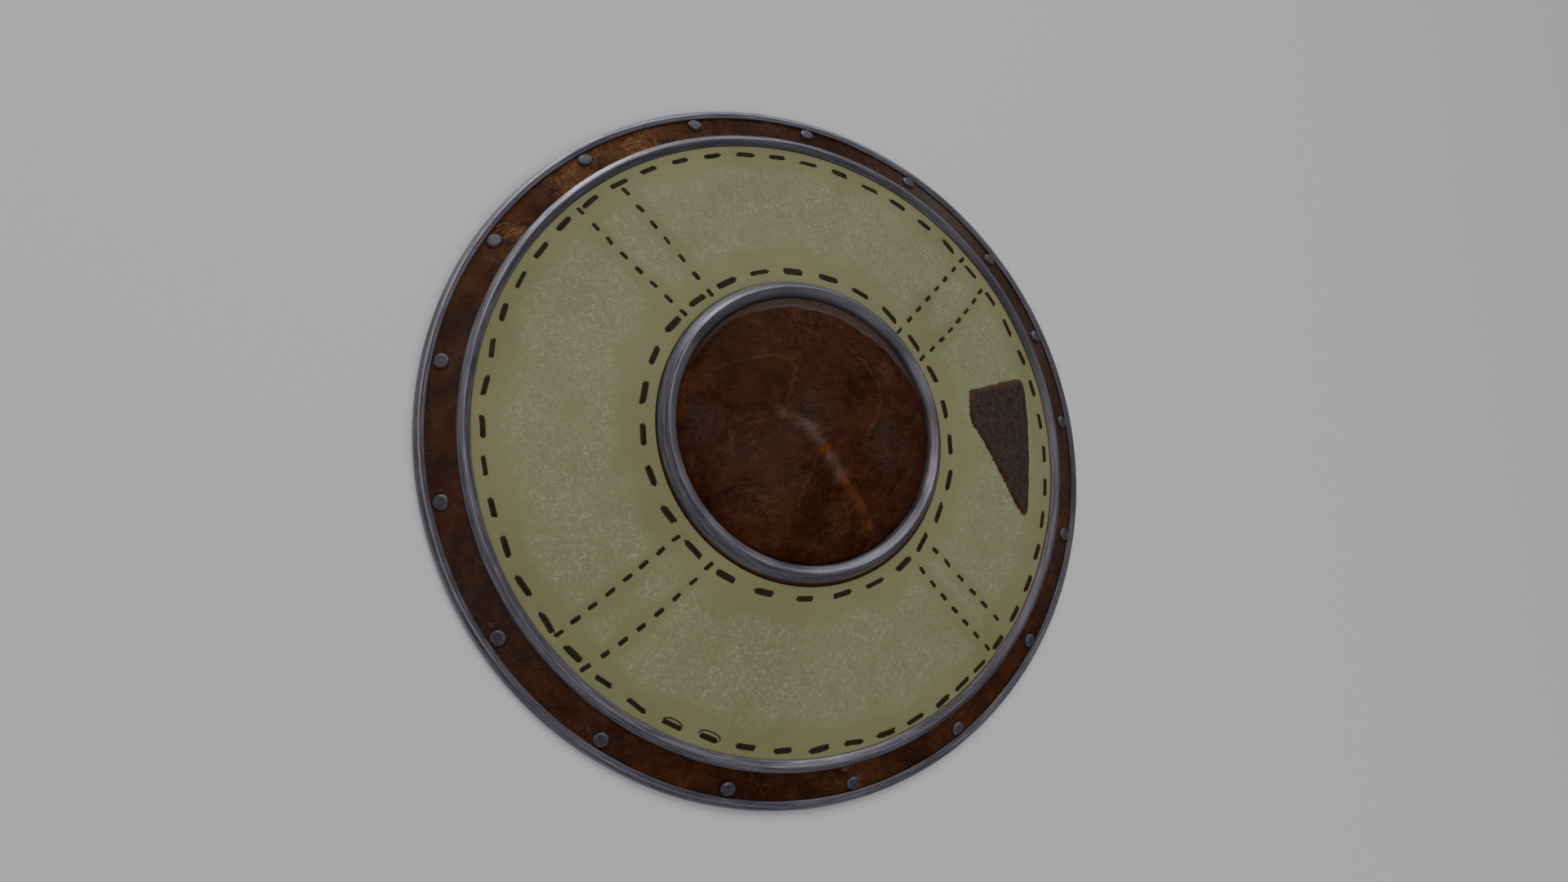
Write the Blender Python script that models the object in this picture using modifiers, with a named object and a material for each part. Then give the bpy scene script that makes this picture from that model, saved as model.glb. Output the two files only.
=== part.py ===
"""A round leather shield, lying on its rim with the boss up.

A moulded hide body carries a cream rawhide facing, a domed leather boss, a folded iron
edging, two ridged iron rings, a ring of flat iron studs, one leather patch and, behind,
a wooden grip. Metres, +Z up. The origin is on the floor under the middle of the shield,
+Y points to the top of the shield as it is carried, and +X to its right.
"""

import math

import bmesh
import bpy
from mathutils import Matrix, Vector

# Overall
RIM_RADIUS = 0.3000          # outer radius of the iron edging
BIG_SIDES = 56               # sides of the large rings
BOSS_SIDES = 40              # sides of the boss and its ring
GAP = 0.0003                 # clearance between touching pieces
DRILL_LENGTH = 0.0600        # cutters for rivet holes, half of it below the head's seat

# Iron edging, a strip folded over the edge of the hide
RIM_WIDTH = 0.0077           # how far the edging reaches in over the hide
RIM_STRIP = 0.0018           # thickness of the folded strip
RIM_CROWN = 0.0008           # how much the rounded top stands over the strip
RIM_ROUND = 0.0040           # how far in the rounding of the outer side starts
RIM_WALL = 0.0020            # thickness of the outer wall, where the fold is thickest

# Hide body
HIDE_THICKNESS = 0.0060
BAND_ANGLE = math.radians(26.0)         # slope of the bare leather band
FIELD_ANGLE_OUTER = math.radians(13.8)  # slope of the field where it meets the ring
FIELD_ANGLE_INNER = math.radians(9.4)   # slope of the field at the boss ring

# Field ring, which clamps the outer edge of the facing
BAND_WIDTH = 0.0218          # bare band between the ring and the edging
FIELD_RING_HALF = 0.0051     # half of its width
FIELD_RING_RISE = 0.0057     # crest above the line between its two feet
FACING_THICKNESS = 0.0020
FACING_UNDER_RING = 0.0017   # how far the facing runs in under the field ring

# Boss ring and boss
BOSS_RING_RADIUS = 0.1182    # centre line of the ring
BOSS_RING_HALF = 0.0070
BOSS_RING_RISE = 0.0100      # crest above the flange it sits on
BOSS_RISE = 0.0335           # height of the dome above its flange
BOSS_FULLNESS = 1.05         # half axis of the dome's ellipse over the dome's own radius
BOSS_THICKNESS = 0.0020
FLANGE_SHOWS = 0.0006        # leather left showing outside the boss ring
FLANGE_TO_FACING = 0.0011    # gap round the flange, in the facing's hole

# Studs round the band
STUD_COUNT = 17
STUD_FROM_RIM = 0.0074       # stud centre to the inner edge of the edging
STUD_HEAD_RADIUS = 0.0060
STUD_HEAD_HEIGHT = 0.0030
STUD_SIDE_HEIGHT = 0.0017    # upright side of the head, below its bevel
STUD_BEVEL = 0.0012          # width of the bevel round the flat top
STUD_SHANK_RADIUS = 0.0022
STUD_TAIL_RADIUS = 0.0042    # the clenched tail behind
STUD_TAIL_HEIGHT = 0.0014
STUD_SIDES = 8
STUD_FIRST = math.radians(37.9)         # the stud that the even steps start from
STUD_STEP = math.radians(21.69)         # even step; the last two gaps take what is left

# Leather patch on the field, right of the boss
PATCH_FROM_RING = 0.0243     # right edge of the patch to the field ring
PATCH_WIDTH = 0.0712         # across its upper part
PATCH_THICKNESS = 0.0022
PATCH_TOP = 0.0520           # top of the patch above the middle of the shield
PATCH_BOTTOM = -0.0735       # its tip
PATCH_SLANT = 0.0140         # how much lower its top edge is at the left

# Grip across the hand hole
GRIP_RIVET_LAND = 0.0110     # rivet centre to the edge of the hand hole
GRIP_END_LAND = 0.0110       # rivet centre to the end of the grip
GRIP_WIDTH = 0.0260
GRIP_END_THICKNESS = 0.0090
GRIP_END_CORNER = 0.0020     # rounding of the ends' long edges
GRIP_MIDDLE_THICKNESS = 0.0160
GRIP_CORNER = 0.0060         # rounding of the middle's long edges
GRIP_WRAP_LENGTH = 0.1080
GRIP_WRAP_THICKNESS = 0.0018
GRIP_RIVET_HEAD = 0.0050     # radius of the rivet heads that hold the grip
GRIP_RIVET_CLEARANCE = 0.0060           # rivet head to the wall of the boss

# Worked out from the sizes above
EDGE_BOTTOM = RIM_STRIP + GAP
EDGE_TOP = EDGE_BOTTOM + HIDE_THICKNESS
RIM_SLOT_TOP = EDGE_TOP + GAP
RIM_HEIGHT = RIM_SLOT_TOP + RIM_STRIP + RIM_CROWN
RIM_INNER = RIM_RADIUS - RIM_WIDTH
RIM_SLOT_RADIUS = RIM_RADIUS - RIM_WALL
HIDE_RADIUS = RIM_SLOT_RADIUS - GAP
BAND_START = RIM_INNER - GAP            # the hide is level outside this radius
FIELD_RING_RADIUS = RIM_INNER - BAND_WIDTH - FIELD_RING_HALF
FIELD_RING_INNER = FIELD_RING_RADIUS - FIELD_RING_HALF
FIELD_RING_OUTER = FIELD_RING_RADIUS + FIELD_RING_HALF
FACING_RADIUS = FIELD_RING_INNER + FACING_UNDER_RING
SHELF_START = FACING_RADIUS + GAP          # the hide is level from here to the ring's outer foot
SHELF_HEIGHT = EDGE_TOP + (BAND_START - FIELD_RING_OUTER) * math.tan(BAND_ANGLE)
FIELD_RUN = SHELF_START - BOSS_RING_RADIUS
FIELD_EASE = (math.tan(FIELD_ANGLE_OUTER) - math.tan(FIELD_ANGLE_INNER)) / (2 * FIELD_RUN)
BOSS_RING_INNER = BOSS_RING_RADIUS - BOSS_RING_HALF
BOSS_RING_OUTER = BOSS_RING_RADIUS + BOSS_RING_HALF
BOSS_RADIUS = BOSS_RING_INNER - GAP
FLANGE_RADIUS = BOSS_RING_OUTER + FLANGE_SHOWS
FACING_HOLE_RADIUS = FLANGE_RADIUS + FLANGE_TO_FACING
STUD_CIRCLE = RIM_INNER - STUD_FROM_RIM
GRIP_RIVET_CIRCLE = BOSS_RADIUS - BOSS_THICKNESS - GRIP_RIVET_CLEARANCE - GRIP_RIVET_HEAD
HAND_HOLE_RADIUS = GRIP_RIVET_CIRCLE - GRIP_RIVET_LAND
GRIP_END = GRIP_RIVET_CIRCLE + GRIP_END_LAND


def hide_slope(radius):
    """Downward slope of the hide, as a tangent, going outwards at this radius."""
    if radius >= BAND_START:
        return 0.0
    if radius >= FIELD_RING_OUTER:
        return math.tan(BAND_ANGLE)
    if radius >= SHELF_START:
        return 0.0
    inward = min(SHELF_START - radius, FIELD_RUN)
    return math.tan(FIELD_ANGLE_OUTER) - 2 * FIELD_EASE * inward


def hide_top(radius):
    """Height of the hide's outer face.

    It is level at the edge, then a straight band, then a level shelf under the field ring, then
    a field whose slope eases up to the boss ring, and straight from there in to the hand hole.
    """
    if radius >= BAND_START:
        return EDGE_TOP
    if radius >= FIELD_RING_OUTER:
        return EDGE_TOP + (BAND_START - radius) * math.tan(BAND_ANGLE)
    if radius >= SHELF_START:
        return SHELF_HEIGHT
    inward = min(SHELF_START - radius, FIELD_RUN)
    eased = inward * math.tan(FIELD_ANGLE_OUTER) - FIELD_EASE * inward ** 2
    return SHELF_HEIGHT + eased + (SHELF_START - radius - inward) * math.tan(FIELD_ANGLE_INNER)


def upright(thickness, radius):
    """Vertical height of a layer of this thickness, lying on the hide at this radius."""
    return thickness * math.hypot(1.0, hide_slope(radius))


def hide_bottom(radius):
    """Height of the hide's back."""
    return hide_top(radius) - upright(HIDE_THICKNESS, radius)


def facing_top(radius):
    """Height of the cream facing's outer face."""
    return hide_top(radius) + GAP + upright(FACING_THICKNESS, radius)


def flange_top(radius):
    """Height of the boss flange's outer face."""
    return hide_top(radius) + GAP + upright(BOSS_THICKNESS, radius)


def stations(first, last, count):
    """Evenly spaced values from first to last."""
    return [first + (last - first) * i / (count - 1) for i in range(count)]


def clear_scene():
    """Empties the scene that the script starts in."""
    for thing in list(bpy.data.objects):
        bpy.data.objects.remove(thing, do_unlink=True)


def collection(name):
    """A new collection in the scene."""
    made = bpy.data.collections.new(name)
    bpy.context.scene.collection.children.link(made)
    return made


def material(name, color, roughness, metallic=0.0):
    """A plain Principled material."""
    made = bpy.data.materials.new(name)
    made.use_nodes = True
    shader = made.node_tree.nodes["Principled BSDF"]
    shader.inputs["Base Color"].default_value = (*color, 1.0)
    shader.inputs["Roughness"].default_value = roughness
    shader.inputs["Metallic"].default_value = metallic
    return made


def add_object(name, mesh, finish, where):
    """An object for a mesh, with its material, in a collection."""
    thing = bpy.data.objects.new(name, mesh)
    where.objects.link(thing)
    if finish:
        mesh.materials.append(finish)
    return thing


def turned(name, profile, sides, finish, where, closed=True):
    """Turns a profile of (radius, height) points about Z with a Screw modifier.

    The profile runs down its outer side. A closed one makes a ring, an open one starts and
    ends on the axis.
    """
    mesh = bpy.data.meshes.new(name)
    points = [(radius, 0.0, height) for radius, height in profile]
    edges = [(i, i + 1) for i in range(len(points) - 1)]
    if closed:
        edges.append((len(points) - 1, 0))
    mesh.from_pydata(points, edges, [])
    thing = add_object(name, mesh, finish, where)
    screw = thing.modifiers.new("Turn", "SCREW")
    screw.axis = "Z"
    screw.steps = sides
    screw.render_steps = sides
    screw.use_merge_vertices = True
    screw.merge_threshold = 0.00001
    screw.use_smooth_shade = True
    return thing


def ridged(inner, outer, rise):
    """The top of a ring's section, from its inner foot over the ridge to its outer foot.

    inner and outer are the feet as (radius, height), and rise is the ridge's height above the
    line between them. Each flank is a low upright wall and a slightly bulging slope.
    """
    section = [(0.0, 0.0), (0.02, 0.16), (0.25, 0.63), (0.49, 1.0), (0.74, 0.63), (0.98, 0.16), (1.0, 0.0)]
    made = []
    for across, lift in section:
        radius = inner[0] + (outer[0] - inner[0]) * across
        height = inner[1] + (outer[1] - inner[1]) * across
        made.append((radius, height + rise * lift))
    return made


def make_hide(finish, where):
    """The moulded body: a dished ring of hardened hide with the hand hole in its middle."""
    field = stations(BOSS_RING_RADIUS, SHELF_START, 4)
    radii = [HAND_HOLE_RADIUS] + field + [FIELD_RING_OUTER, BAND_START, HIDE_RADIUS]
    top = [(radius, hide_top(radius)) for radius in radii]
    back = [(radius, hide_bottom(radius)) for radius in reversed(radii)]
    return turned("hide_body", top + back, BIG_SIDES, finish, where)


def make_facing(finish, where):
    """The cream rawhide, cut as a ring and laid on the field of the hide."""
    radii = stations(FACING_HOLE_RADIUS, FACING_RADIUS, 5)
    top = [(radius, facing_top(radius)) for radius in radii]
    back = [(radius, hide_top(radius) + GAP) for radius in reversed(radii)]
    return turned("cream_facing", top + back, BIG_SIDES, finish, where)


def make_rim(finish, where):
    """The iron edging: a strip folded over the edge of the hide, round outside, flat below."""
    outside = [
        (RIM_RADIUS - RIM_ROUND + RIM_ROUND * math.cos(turn), RIM_HEIGHT * (1 + math.sin(turn)) / 2)
        for turn in stations(math.pi / 2, -math.pi / 2, 5)
    ]
    upper_lip = [(RIM_INNER, RIM_SLOT_TOP), (RIM_INNER, RIM_SLOT_TOP + RIM_STRIP)]
    lower_lip = [(RIM_INNER, 0.0), (RIM_INNER, RIM_STRIP)]
    slot = [(RIM_SLOT_RADIUS, RIM_STRIP), (RIM_SLOT_RADIUS, RIM_SLOT_TOP)]
    return turned("iron_rim", upper_lip + outside + lower_lip + slot, BIG_SIDES, finish, where)


def make_field_ring(finish, where):
    """The ridged ring round the field, rebated so that it holds the facing down."""
    inner = (FIELD_RING_INNER, facing_top(FIELD_RING_INNER) + GAP)
    outer = (FIELD_RING_OUTER, SHELF_HEIGHT + GAP)
    base = [(SHELF_START, SHELF_HEIGHT + GAP), (SHELF_START, facing_top(SHELF_START) + GAP)]
    section = ridged(inner, outer, FIELD_RING_RISE) + base
    return turned("field_ring", section, BIG_SIDES, finish, where)


def make_boss_ring(finish, where):
    """The ridged ring that clamps the flange of the boss."""
    inner = (BOSS_RING_INNER, flange_top(BOSS_RING_INNER) + GAP)
    outer = (BOSS_RING_OUTER, flange_top(BOSS_RING_OUTER) + GAP)
    return turned("boss_ring", ridged(inner, outer, BOSS_RING_RISE), BOSS_SIDES, finish, where)


def boss_wall(inset):
    """Points down the dome from its top to its foot, set in from the outer face by inset."""
    foot = flange_top(BOSS_RADIUS)
    across = BOSS_RADIUS * BOSS_FULLNESS
    low = math.sqrt(1 - 1 / BOSS_FULLNESS ** 2)
    up = BOSS_RISE / (1 - low)
    last = math.acos(1 / BOSS_FULLNESS)
    made = []
    for turn in stations(math.pi / 2, last, 6):
        normal = Vector((up * math.cos(turn), across * math.sin(turn))).normalized()
        point = Vector((across * math.cos(turn), foot + up * (math.sin(turn) - low)))
        made.append(tuple(point - normal * inset))
    made[0] = (0.0, made[0][1])
    return made


def make_boss(finish, where):
    """The domed leather boss with the flange that its ring holds down."""
    outer = boss_wall(0.0)
    inner = boss_wall(BOSS_THICKNESS)[:-1]
    lean = math.atan2(outer[-2][1] - outer[-1][1], outer[-1][0] - outer[-2][0])
    corner = BOSS_RADIUS - BOSS_THICKNESS * math.tan(lean / 2)
    flange = [
        (FLANGE_RADIUS, flange_top(FLANGE_RADIUS)),
        (FLANGE_RADIUS, hide_top(FLANGE_RADIUS) + GAP),
        (corner, hide_top(corner) + GAP),
    ]
    profile = outer + flange + list(reversed(inner))
    return turned("leather_boss", profile, BOSS_SIDES, finish, where, closed=False)


def rivet(name, head, depth, place, finish, where):
    """A flat-headed rivet turned about its own axis, its head's seat at the given place.

    The shank runs down through depth, and its tail is clenched below that.
    """
    profile = [
        (0.0, STUD_HEAD_HEIGHT),
        (head - STUD_BEVEL, STUD_HEAD_HEIGHT),
        (head, STUD_SIDE_HEIGHT),
        (head, 0.0),
        (STUD_SHANK_RADIUS, 0.0),
        (STUD_SHANK_RADIUS, -depth),
        (STUD_TAIL_RADIUS, -depth),
        (STUD_TAIL_RADIUS - STUD_BEVEL, -depth - STUD_TAIL_HEIGHT),
        (0.0, -depth - STUD_TAIL_HEIGHT),
    ]
    made = turned(name, profile, STUD_SIDES, finish, where, closed=False)
    made.matrix_world = place
    return made


def on_hide(radius, angle, lean):
    """Place on the hide's outer face, lifted by the gap, turned to lean outwards."""
    point = Vector((radius, 0.0, hide_top(radius)))
    point += Vector((math.sin(lean), 0.0, math.cos(lean))) * GAP
    turn = Matrix.Rotation(angle, 4, "Z")
    return turn @ Matrix.Translation(point) @ Matrix.Rotation(lean, 4, "Y")


def drill(target, piece, where):
    """Drills the hole for a rivet's shank through a target, along the rivet's own axis.

    The cutter is turned so that its corners lie over those of the shank.
    """
    mesh = bpy.data.meshes.new("hole_" + piece.name)
    shape = bmesh.new()
    radius = STUD_SHANK_RADIUS + GAP
    bmesh.ops.create_cone(shape, cap_ends=True, segments=STUD_SIDES, radius1=radius,
                          radius2=radius, depth=DRILL_LENGTH)
    bmesh.ops.rotate(shape, verts=shape.verts, matrix=Matrix.Rotation(-math.pi / 2, 3, "Z"))
    shape.to_mesh(mesh)
    shape.free()
    cutter = add_object(mesh.name, mesh, None, where)
    cutter.matrix_world = piece.matrix_world
    cutter.hide_render = True
    cutter.display_type = "WIRE"
    boolean = target.modifiers.new(mesh.name, "BOOLEAN")
    boolean.operation = "DIFFERENCE"
    boolean.solver = "EXACT"
    boolean.object = cutter


def stud_angles():
    """Angle of each stud: even steps, then one halfway across the gap that is left."""
    even = [STUD_FIRST + STUD_STEP * i for i in range(STUD_COUNT - 1)]
    left = STUD_FIRST + 2 * math.pi - even[-1]
    return even + [even[-1] + left / 2]


def make_studs(hide, finish, where, cutters):
    """The flat iron studs of the band, each clenched behind the hide."""
    depth = HIDE_THICKNESS + 2 * GAP
    for number, angle in enumerate(stud_angles(), 1):
        place = on_hide(STUD_CIRCLE, angle, BAND_ANGLE)
        stud = rivet(f"band_stud_{number:02d}", STUD_HEAD_RADIUS, depth, place, finish, where)
        drill(hide, stud, cutters)


def patch_edges(share):
    """How far the patch's left and right edges lie in from its right side, as shares of its width.

    share is how far down the patch they are asked for. The right side is nearly straight; the
    left is short and upright, then runs in at a slant to the tip.
    """
    left = [(0.0, 0.94), (0.17, 1.0), (0.27, 0.96), (0.33, 0.83), (0.60, 0.65), (0.80, 0.48),
            (1.0, 0.32)]
    right = [(0.0, 0.01), (0.10, 0.0), (0.32, 0.02), (0.60, 0.08), (0.90, 0.17), (1.0, 0.24)]
    found = []
    for side in (left, right):
        for (low, start), (high, end) in zip(side, side[1:]):
            if low <= share <= high:
                found.append(start + (end - start) * (share - low) / (high - low))
                break
    return found


def make_patch(finish, where):
    """The leather patch: a grid bent to its outline and laid on the facing."""
    mesh = bpy.data.meshes.new("leather_patch")
    shape = bmesh.new()
    bmesh.ops.create_grid(shape, x_segments=3, y_segments=12, size=0.5)
    edge = FIELD_RING_INNER - PATCH_FROM_RING
    for vert in shape.verts:
        across, down = vert.co.x + 0.5, 0.5 - vert.co.y
        left, right = patch_edges(down)
        vert.co.x = edge - PATCH_WIDTH * (left + (right - left) * across)
        slant = (1 - across) * PATCH_SLANT * (1 - down)
        vert.co.y = PATCH_TOP + (PATCH_BOTTOM - PATCH_TOP) * down - slant
        vert.co.z = facing_top(math.hypot(vert.co.x, vert.co.y)) + GAP
    shape.to_mesh(mesh)
    shape.free()
    thing = add_object("leather_patch", mesh, finish, where)
    solid = thing.modifiers.new("Thickness", "SOLIDIFY")
    solid.thickness = PATCH_THICKNESS
    solid.offset = 1.0
    return thing


def rounded_section(x, top, bottom, half, corner):
    """A rounded rectangle across the grip at x, going round from the right side over the top."""
    points = []
    corners = [(half, top), (-half, top), (-half, bottom), (half, bottom)]
    for quarter, (y, z) in enumerate(corners):
        y -= math.copysign(corner, y)
        z += corner if z == bottom else -corner
        for turn in stations(quarter * math.pi / 2, (quarter + 1) * math.pi / 2, 3):
            points.append((x, y + corner * math.cos(turn), z + corner * math.sin(turn)))
    return points


def lofted(name, sections, finish, where, capped):
    """A skin through a row of like sections, with its faces pointing out."""
    shape = bmesh.new()
    rows = [[shape.verts.new(point) for point in section] for section in sections]
    for row, following in zip(rows, rows[1:]):
        for i in range(len(row)):
            j = (i + 1) % len(row)
            shape.faces.new((row[i], row[j], following[j], following[i]))
    if capped:
        shape.faces.new(rows[0][::-1])
        shape.faces.new(rows[-1])
    mesh = bpy.data.meshes.new(name)
    shape.to_mesh(mesh)
    shape.free()
    return add_object(name, mesh, finish, where)


def grip_top(x):
    """Height of the grip's upper face under the hide, clear of it over the grip's whole width."""
    return hide_bottom(math.hypot(x, GRIP_WIDTH / 2)) - GAP


def make_grip(wood, leather, iron, hide, where, cutters):
    """The wooden grip across the hand hole, its leather wrap and the two rivets that hold it."""
    half = GRIP_WIDTH / 2
    step = GRIP_WRAP_LENGTH / 2 + GRIP_WRAP_THICKNESS
    crown = grip_top(HAND_HOLE_RADIUS)
    right = [
        rounded_section(x, top, top - thickness, half, corner)
        for x, top, thickness, corner in (
            (step, crown, GRIP_MIDDLE_THICKNESS, GRIP_CORNER),
            (HAND_HOLE_RADIUS, crown, GRIP_END_THICKNESS, GRIP_END_CORNER),
            (GRIP_END, grip_top(GRIP_END), GRIP_END_THICKNESS, GRIP_END_CORNER),
        )
    ]
    left = [[(-x, y, z) for x, y, z in section] for section in reversed(right)]
    grip = lofted("wooden_grip", left + right, wood, where, capped=True)

    sleeve = [
        rounded_section(x, crown + GAP, crown - GRIP_MIDDLE_THICKNESS - GAP, half + GAP,
                        GRIP_CORNER + GAP)
        for x in (-GRIP_WRAP_LENGTH / 2, GRIP_WRAP_LENGTH / 2)
    ]
    wrap = lofted("grip_wrap", sleeve, leather, where, capped=False)
    wall = wrap.modifiers.new("Leather", "SOLIDIFY")
    wall.thickness = GRIP_WRAP_THICKNESS
    wall.offset = 1.0

    lean = FIELD_ANGLE_INNER
    under = grip_top(GRIP_RIVET_CIRCLE) - GRIP_END_THICKNESS
    depth = (hide_top(GRIP_RIVET_CIRCLE) - under) * math.cos(lean) + 2 * GAP
    for number, angle in enumerate((0.0, math.pi), 1):
        place = on_hide(GRIP_RIVET_CIRCLE, angle, lean)
        piece = rivet(f"grip_rivet_{number}", GRIP_RIVET_HEAD, depth, place, iron, where)
        drill(hide, piece, cutters)
        drill(grip, piece, cutters)


def build():
    """Makes every piece of the shield."""
    clear_scene()
    shield = collection("leather_shield")
    cutters = collection("cutters")
    brown = material("brown_leather", (0.075, 0.028, 0.014), 0.5)
    cream = material("cream_rawhide", (0.42, 0.42, 0.26), 0.7)
    iron = material("dull_iron", (0.30, 0.29, 0.32), 0.38, 1.0)
    worn = material("patch_leather", (0.075, 0.045, 0.035), 0.7)
    wood = material("grip_wood", (0.16, 0.09, 0.05), 0.6)
    hide = make_hide(brown, shield)
    make_facing(cream, shield)
    make_boss(brown, shield)
    make_rim(iron, shield)
    make_field_ring(iron, shield)
    make_boss_ring(iron, shield)
    make_studs(hide, iron, shield, cutters)
    make_patch(worn, shield)
    make_grip(wood, brown, iron, hide, shield, cutters)


build()
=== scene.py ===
"""The finished look of a round leather shield, which lies on its iron rim with the boss up."""
import math

import bmesh
import bpy
import numpy as np
from mathutils import Matrix, Vector


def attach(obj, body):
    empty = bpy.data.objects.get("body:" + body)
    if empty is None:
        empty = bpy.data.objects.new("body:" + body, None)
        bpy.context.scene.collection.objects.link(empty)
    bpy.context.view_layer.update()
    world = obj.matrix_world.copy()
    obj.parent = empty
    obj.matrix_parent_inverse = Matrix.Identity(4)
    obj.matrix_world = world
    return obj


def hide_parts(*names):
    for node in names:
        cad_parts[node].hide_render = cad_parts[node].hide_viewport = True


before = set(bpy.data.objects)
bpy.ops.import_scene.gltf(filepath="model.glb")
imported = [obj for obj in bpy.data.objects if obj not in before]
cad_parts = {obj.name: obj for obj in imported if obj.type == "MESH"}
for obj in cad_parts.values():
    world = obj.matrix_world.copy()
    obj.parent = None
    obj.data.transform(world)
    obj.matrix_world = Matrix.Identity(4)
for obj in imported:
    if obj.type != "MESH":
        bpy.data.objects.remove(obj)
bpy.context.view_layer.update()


# The studio: a pale floor, a wide soft key light high behind the top of the shield, a weaker one
# over its lower side for brightness only, and two small ones low behind the top that only show
# as gleams on the iron. The camera looks down on the shield from its lower left, as in the photo.
CAMERA_PLACE = (-0.3567, -0.1698, 0.8210)
CAMERA_VIEW = (0.3929, 0.1867, -0.9004)
CAMERA_UP = (0.0, 0.9792, 0.2030)
CAMERA_LENS = 24.44          # on a sensor 36 mm wide
FLOOR_HALF = 6.0


def in_scene(name, data):
    """An object made from its data and linked to the scene."""
    thing = bpy.data.objects.new(name, data)
    bpy.context.scene.collection.objects.link(thing)
    return thing


def soft_light(name, place, size, power, colour, brightens=True, gleams=True):
    """A square area light that faces the middle of the shield.

    It brightens matt surfaces, shows as a gleam on polished ones, or both.
    """
    lamp = bpy.data.lights.new(name, "AREA")
    lamp.size, lamp.energy, lamp.color = size, power, colour
    thing = in_scene(name, lamp)
    thing.location = place
    thing.visible_diffuse, thing.visible_glossy = brightens, gleams
    thing.rotation_euler = (-Vector(place)).to_track_quat("-Z", "Y").to_euler()


def new_material(name, roughness, specular, metallic=0.0):
    """A material with its shader's own sockets set, and its node tree."""
    made = bpy.data.materials.new(name)
    made.use_nodes = True
    sockets = made.node_tree.nodes["Principled BSDF"].inputs
    sockets["Roughness"].default_value = roughness
    sockets["Specular IOR Level"].default_value = specular
    sockets["Metallic"].default_value = metallic
    return made, made.node_tree


view = Vector(CAMERA_VIEW).normalized()
right = view.cross(Vector(CAMERA_UP)).normalized()
camera = in_scene("camera", bpy.data.cameras.new("camera"))
camera.data.lens = CAMERA_LENS
camera.data.sensor_width = 36.0
camera.matrix_world = (Matrix.Translation(CAMERA_PLACE)
                       @ Matrix((right, right.cross(view), -view)).transposed().to_4x4())
bpy.context.scene.camera = camera

soft_light("key_light", (-0.7, 2.0, 3.2), 2.2, 67.0, (1.0, 0.98, 0.95))
soft_light("fill_light", (0.3, -1.3, 2.3), 2.0, 22.0, (0.97, 0.97, 1.0), gleams=False)
soft_light("edge_light", (-0.62, 2.4, 0.30), 0.5, 36.0, (0.95, 0.96, 1.0), brightens=False)
soft_light("side_light", (0.9, 2.0, 0.85), 0.5, 14.0, (0.95, 0.96, 1.0), brightens=False)

world = bpy.data.worlds.new("studio")
world.use_nodes = True
world.node_tree.nodes["Background"].inputs["Color"].default_value = (0.90, 0.91, 0.95, 1.0)
world.node_tree.nodes["Background"].inputs["Strength"].default_value = 0.25
bpy.context.scene.world = world

floor_mesh = bpy.data.meshes.new("floor")
corners = np.array([(-1, -1, 0), (1, -1, 0), (1, 1, 0), (-1, 1, 0)]) * FLOOR_HALF
floor_mesh.from_pydata(corners, [], [(0, 1, 2, 3)])
floor_paint, tree = new_material("floor_paint", 0.9, 0.5)
tree.nodes["Principled BSDF"].inputs["Base Color"].default_value = (0.62, 0.62, 0.63, 1)
floor_mesh.materials.append(floor_paint)
in_scene("floor", floor_mesh)


# Hide body: one ring of thick cattle hide, wet-moulded over a form into a shallow dish and
# hardened. It is dyed red-brown and shows bare as the band outside the field ring; its back is
# the paler flesh side. The studs, the edging and the rings are all fixed through it.
GAP = 0.0003                 # between pieces that lie on each other
HIDE_THICKNESS = 0.0060
HIDE_EDGE = 0.2976           # outer radius of the hide, inside the edging
EDGE_TOP = 0.0081            # top of the hide inside the folded edging
BAND_START = 0.2920          # the hide is level outside this radius
RING_FOOT = 0.2705           # outer foot of the field ring, where the band begins
SHELF_START = 0.2623         # the hide is level from here to the ring's outer foot
BOSS_RING_RADIUS = 0.1182    # the slope eases from the shelf to here, and is even inside
BAND_LEAN = math.radians(26.0)
BAND_SLOPE = math.tan(BAND_LEAN)
FIELD_SLOPE = math.tan(math.radians(13.8))
BOSS_LEAN = math.radians(9.4)
BOSS_SLOPE = math.tan(BOSS_LEAN)
HAND_HOLE = 0.0869           # radius of the hole behind the boss
STUD_CIRCLE = 0.2849         # radius of the circle that the studs stand on
FIRST_STUD = 37.9            # its angle in degrees, and the even step from stud to stud
STUD_STEP = 21.69
STUD_DISH = 0.0085           # reach of the shallow dish that each stud has pressed into the band


def hide_slope(radius):
    """Downward slope of the hide going out: even on the band, easing inwards on the field.

    There is none at the edge and on the shelf under the field ring.
    """
    inward = np.clip(SHELF_START - radius, 0, SHELF_START - BOSS_RING_RADIUS)
    ease = (FIELD_SLOPE - BOSS_SLOPE) / (SHELF_START - BOSS_RING_RADIUS)
    field = np.where(radius < SHELF_START, FIELD_SLOPE - ease * inward, 0.0)
    return field + BAND_SLOPE * ((radius >= RING_FOOT) & (radius < BAND_START))


def hide_height(radius):
    """Height of the hide's outer face: the slope summed up from the level edge inwards."""
    radius = np.asarray(radius, float)
    band = np.clip(BAND_START - radius, 0, BAND_START - RING_FOOT)
    inward = np.clip(SHELF_START - radius, 0, SHELF_START - BOSS_RING_RADIUS)
    ease = (FIELD_SLOPE - BOSS_SLOPE) / (2 * (SHELF_START - BOSS_RING_RADIUS))
    straight = np.clip(BOSS_RING_RADIUS - radius, 0, None)
    return (EDGE_TOP + band * BAND_SLOPE + inward * FIELD_SLOPE - ease * inward ** 2
            + straight * BOSS_SLOPE)


def over_hide(radius, thickness, gap=GAP):
    """Height of a layer's outer face, its thickness and a gap over the hide, or under if negative."""
    return hide_height(radius) + gap + thickness * np.hypot(1.0, hide_slope(radius))


def polar(x, y):
    """Angle round the axis, and distance from it."""
    return np.arctan2(y, x), np.hypot(x, y)


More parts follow.
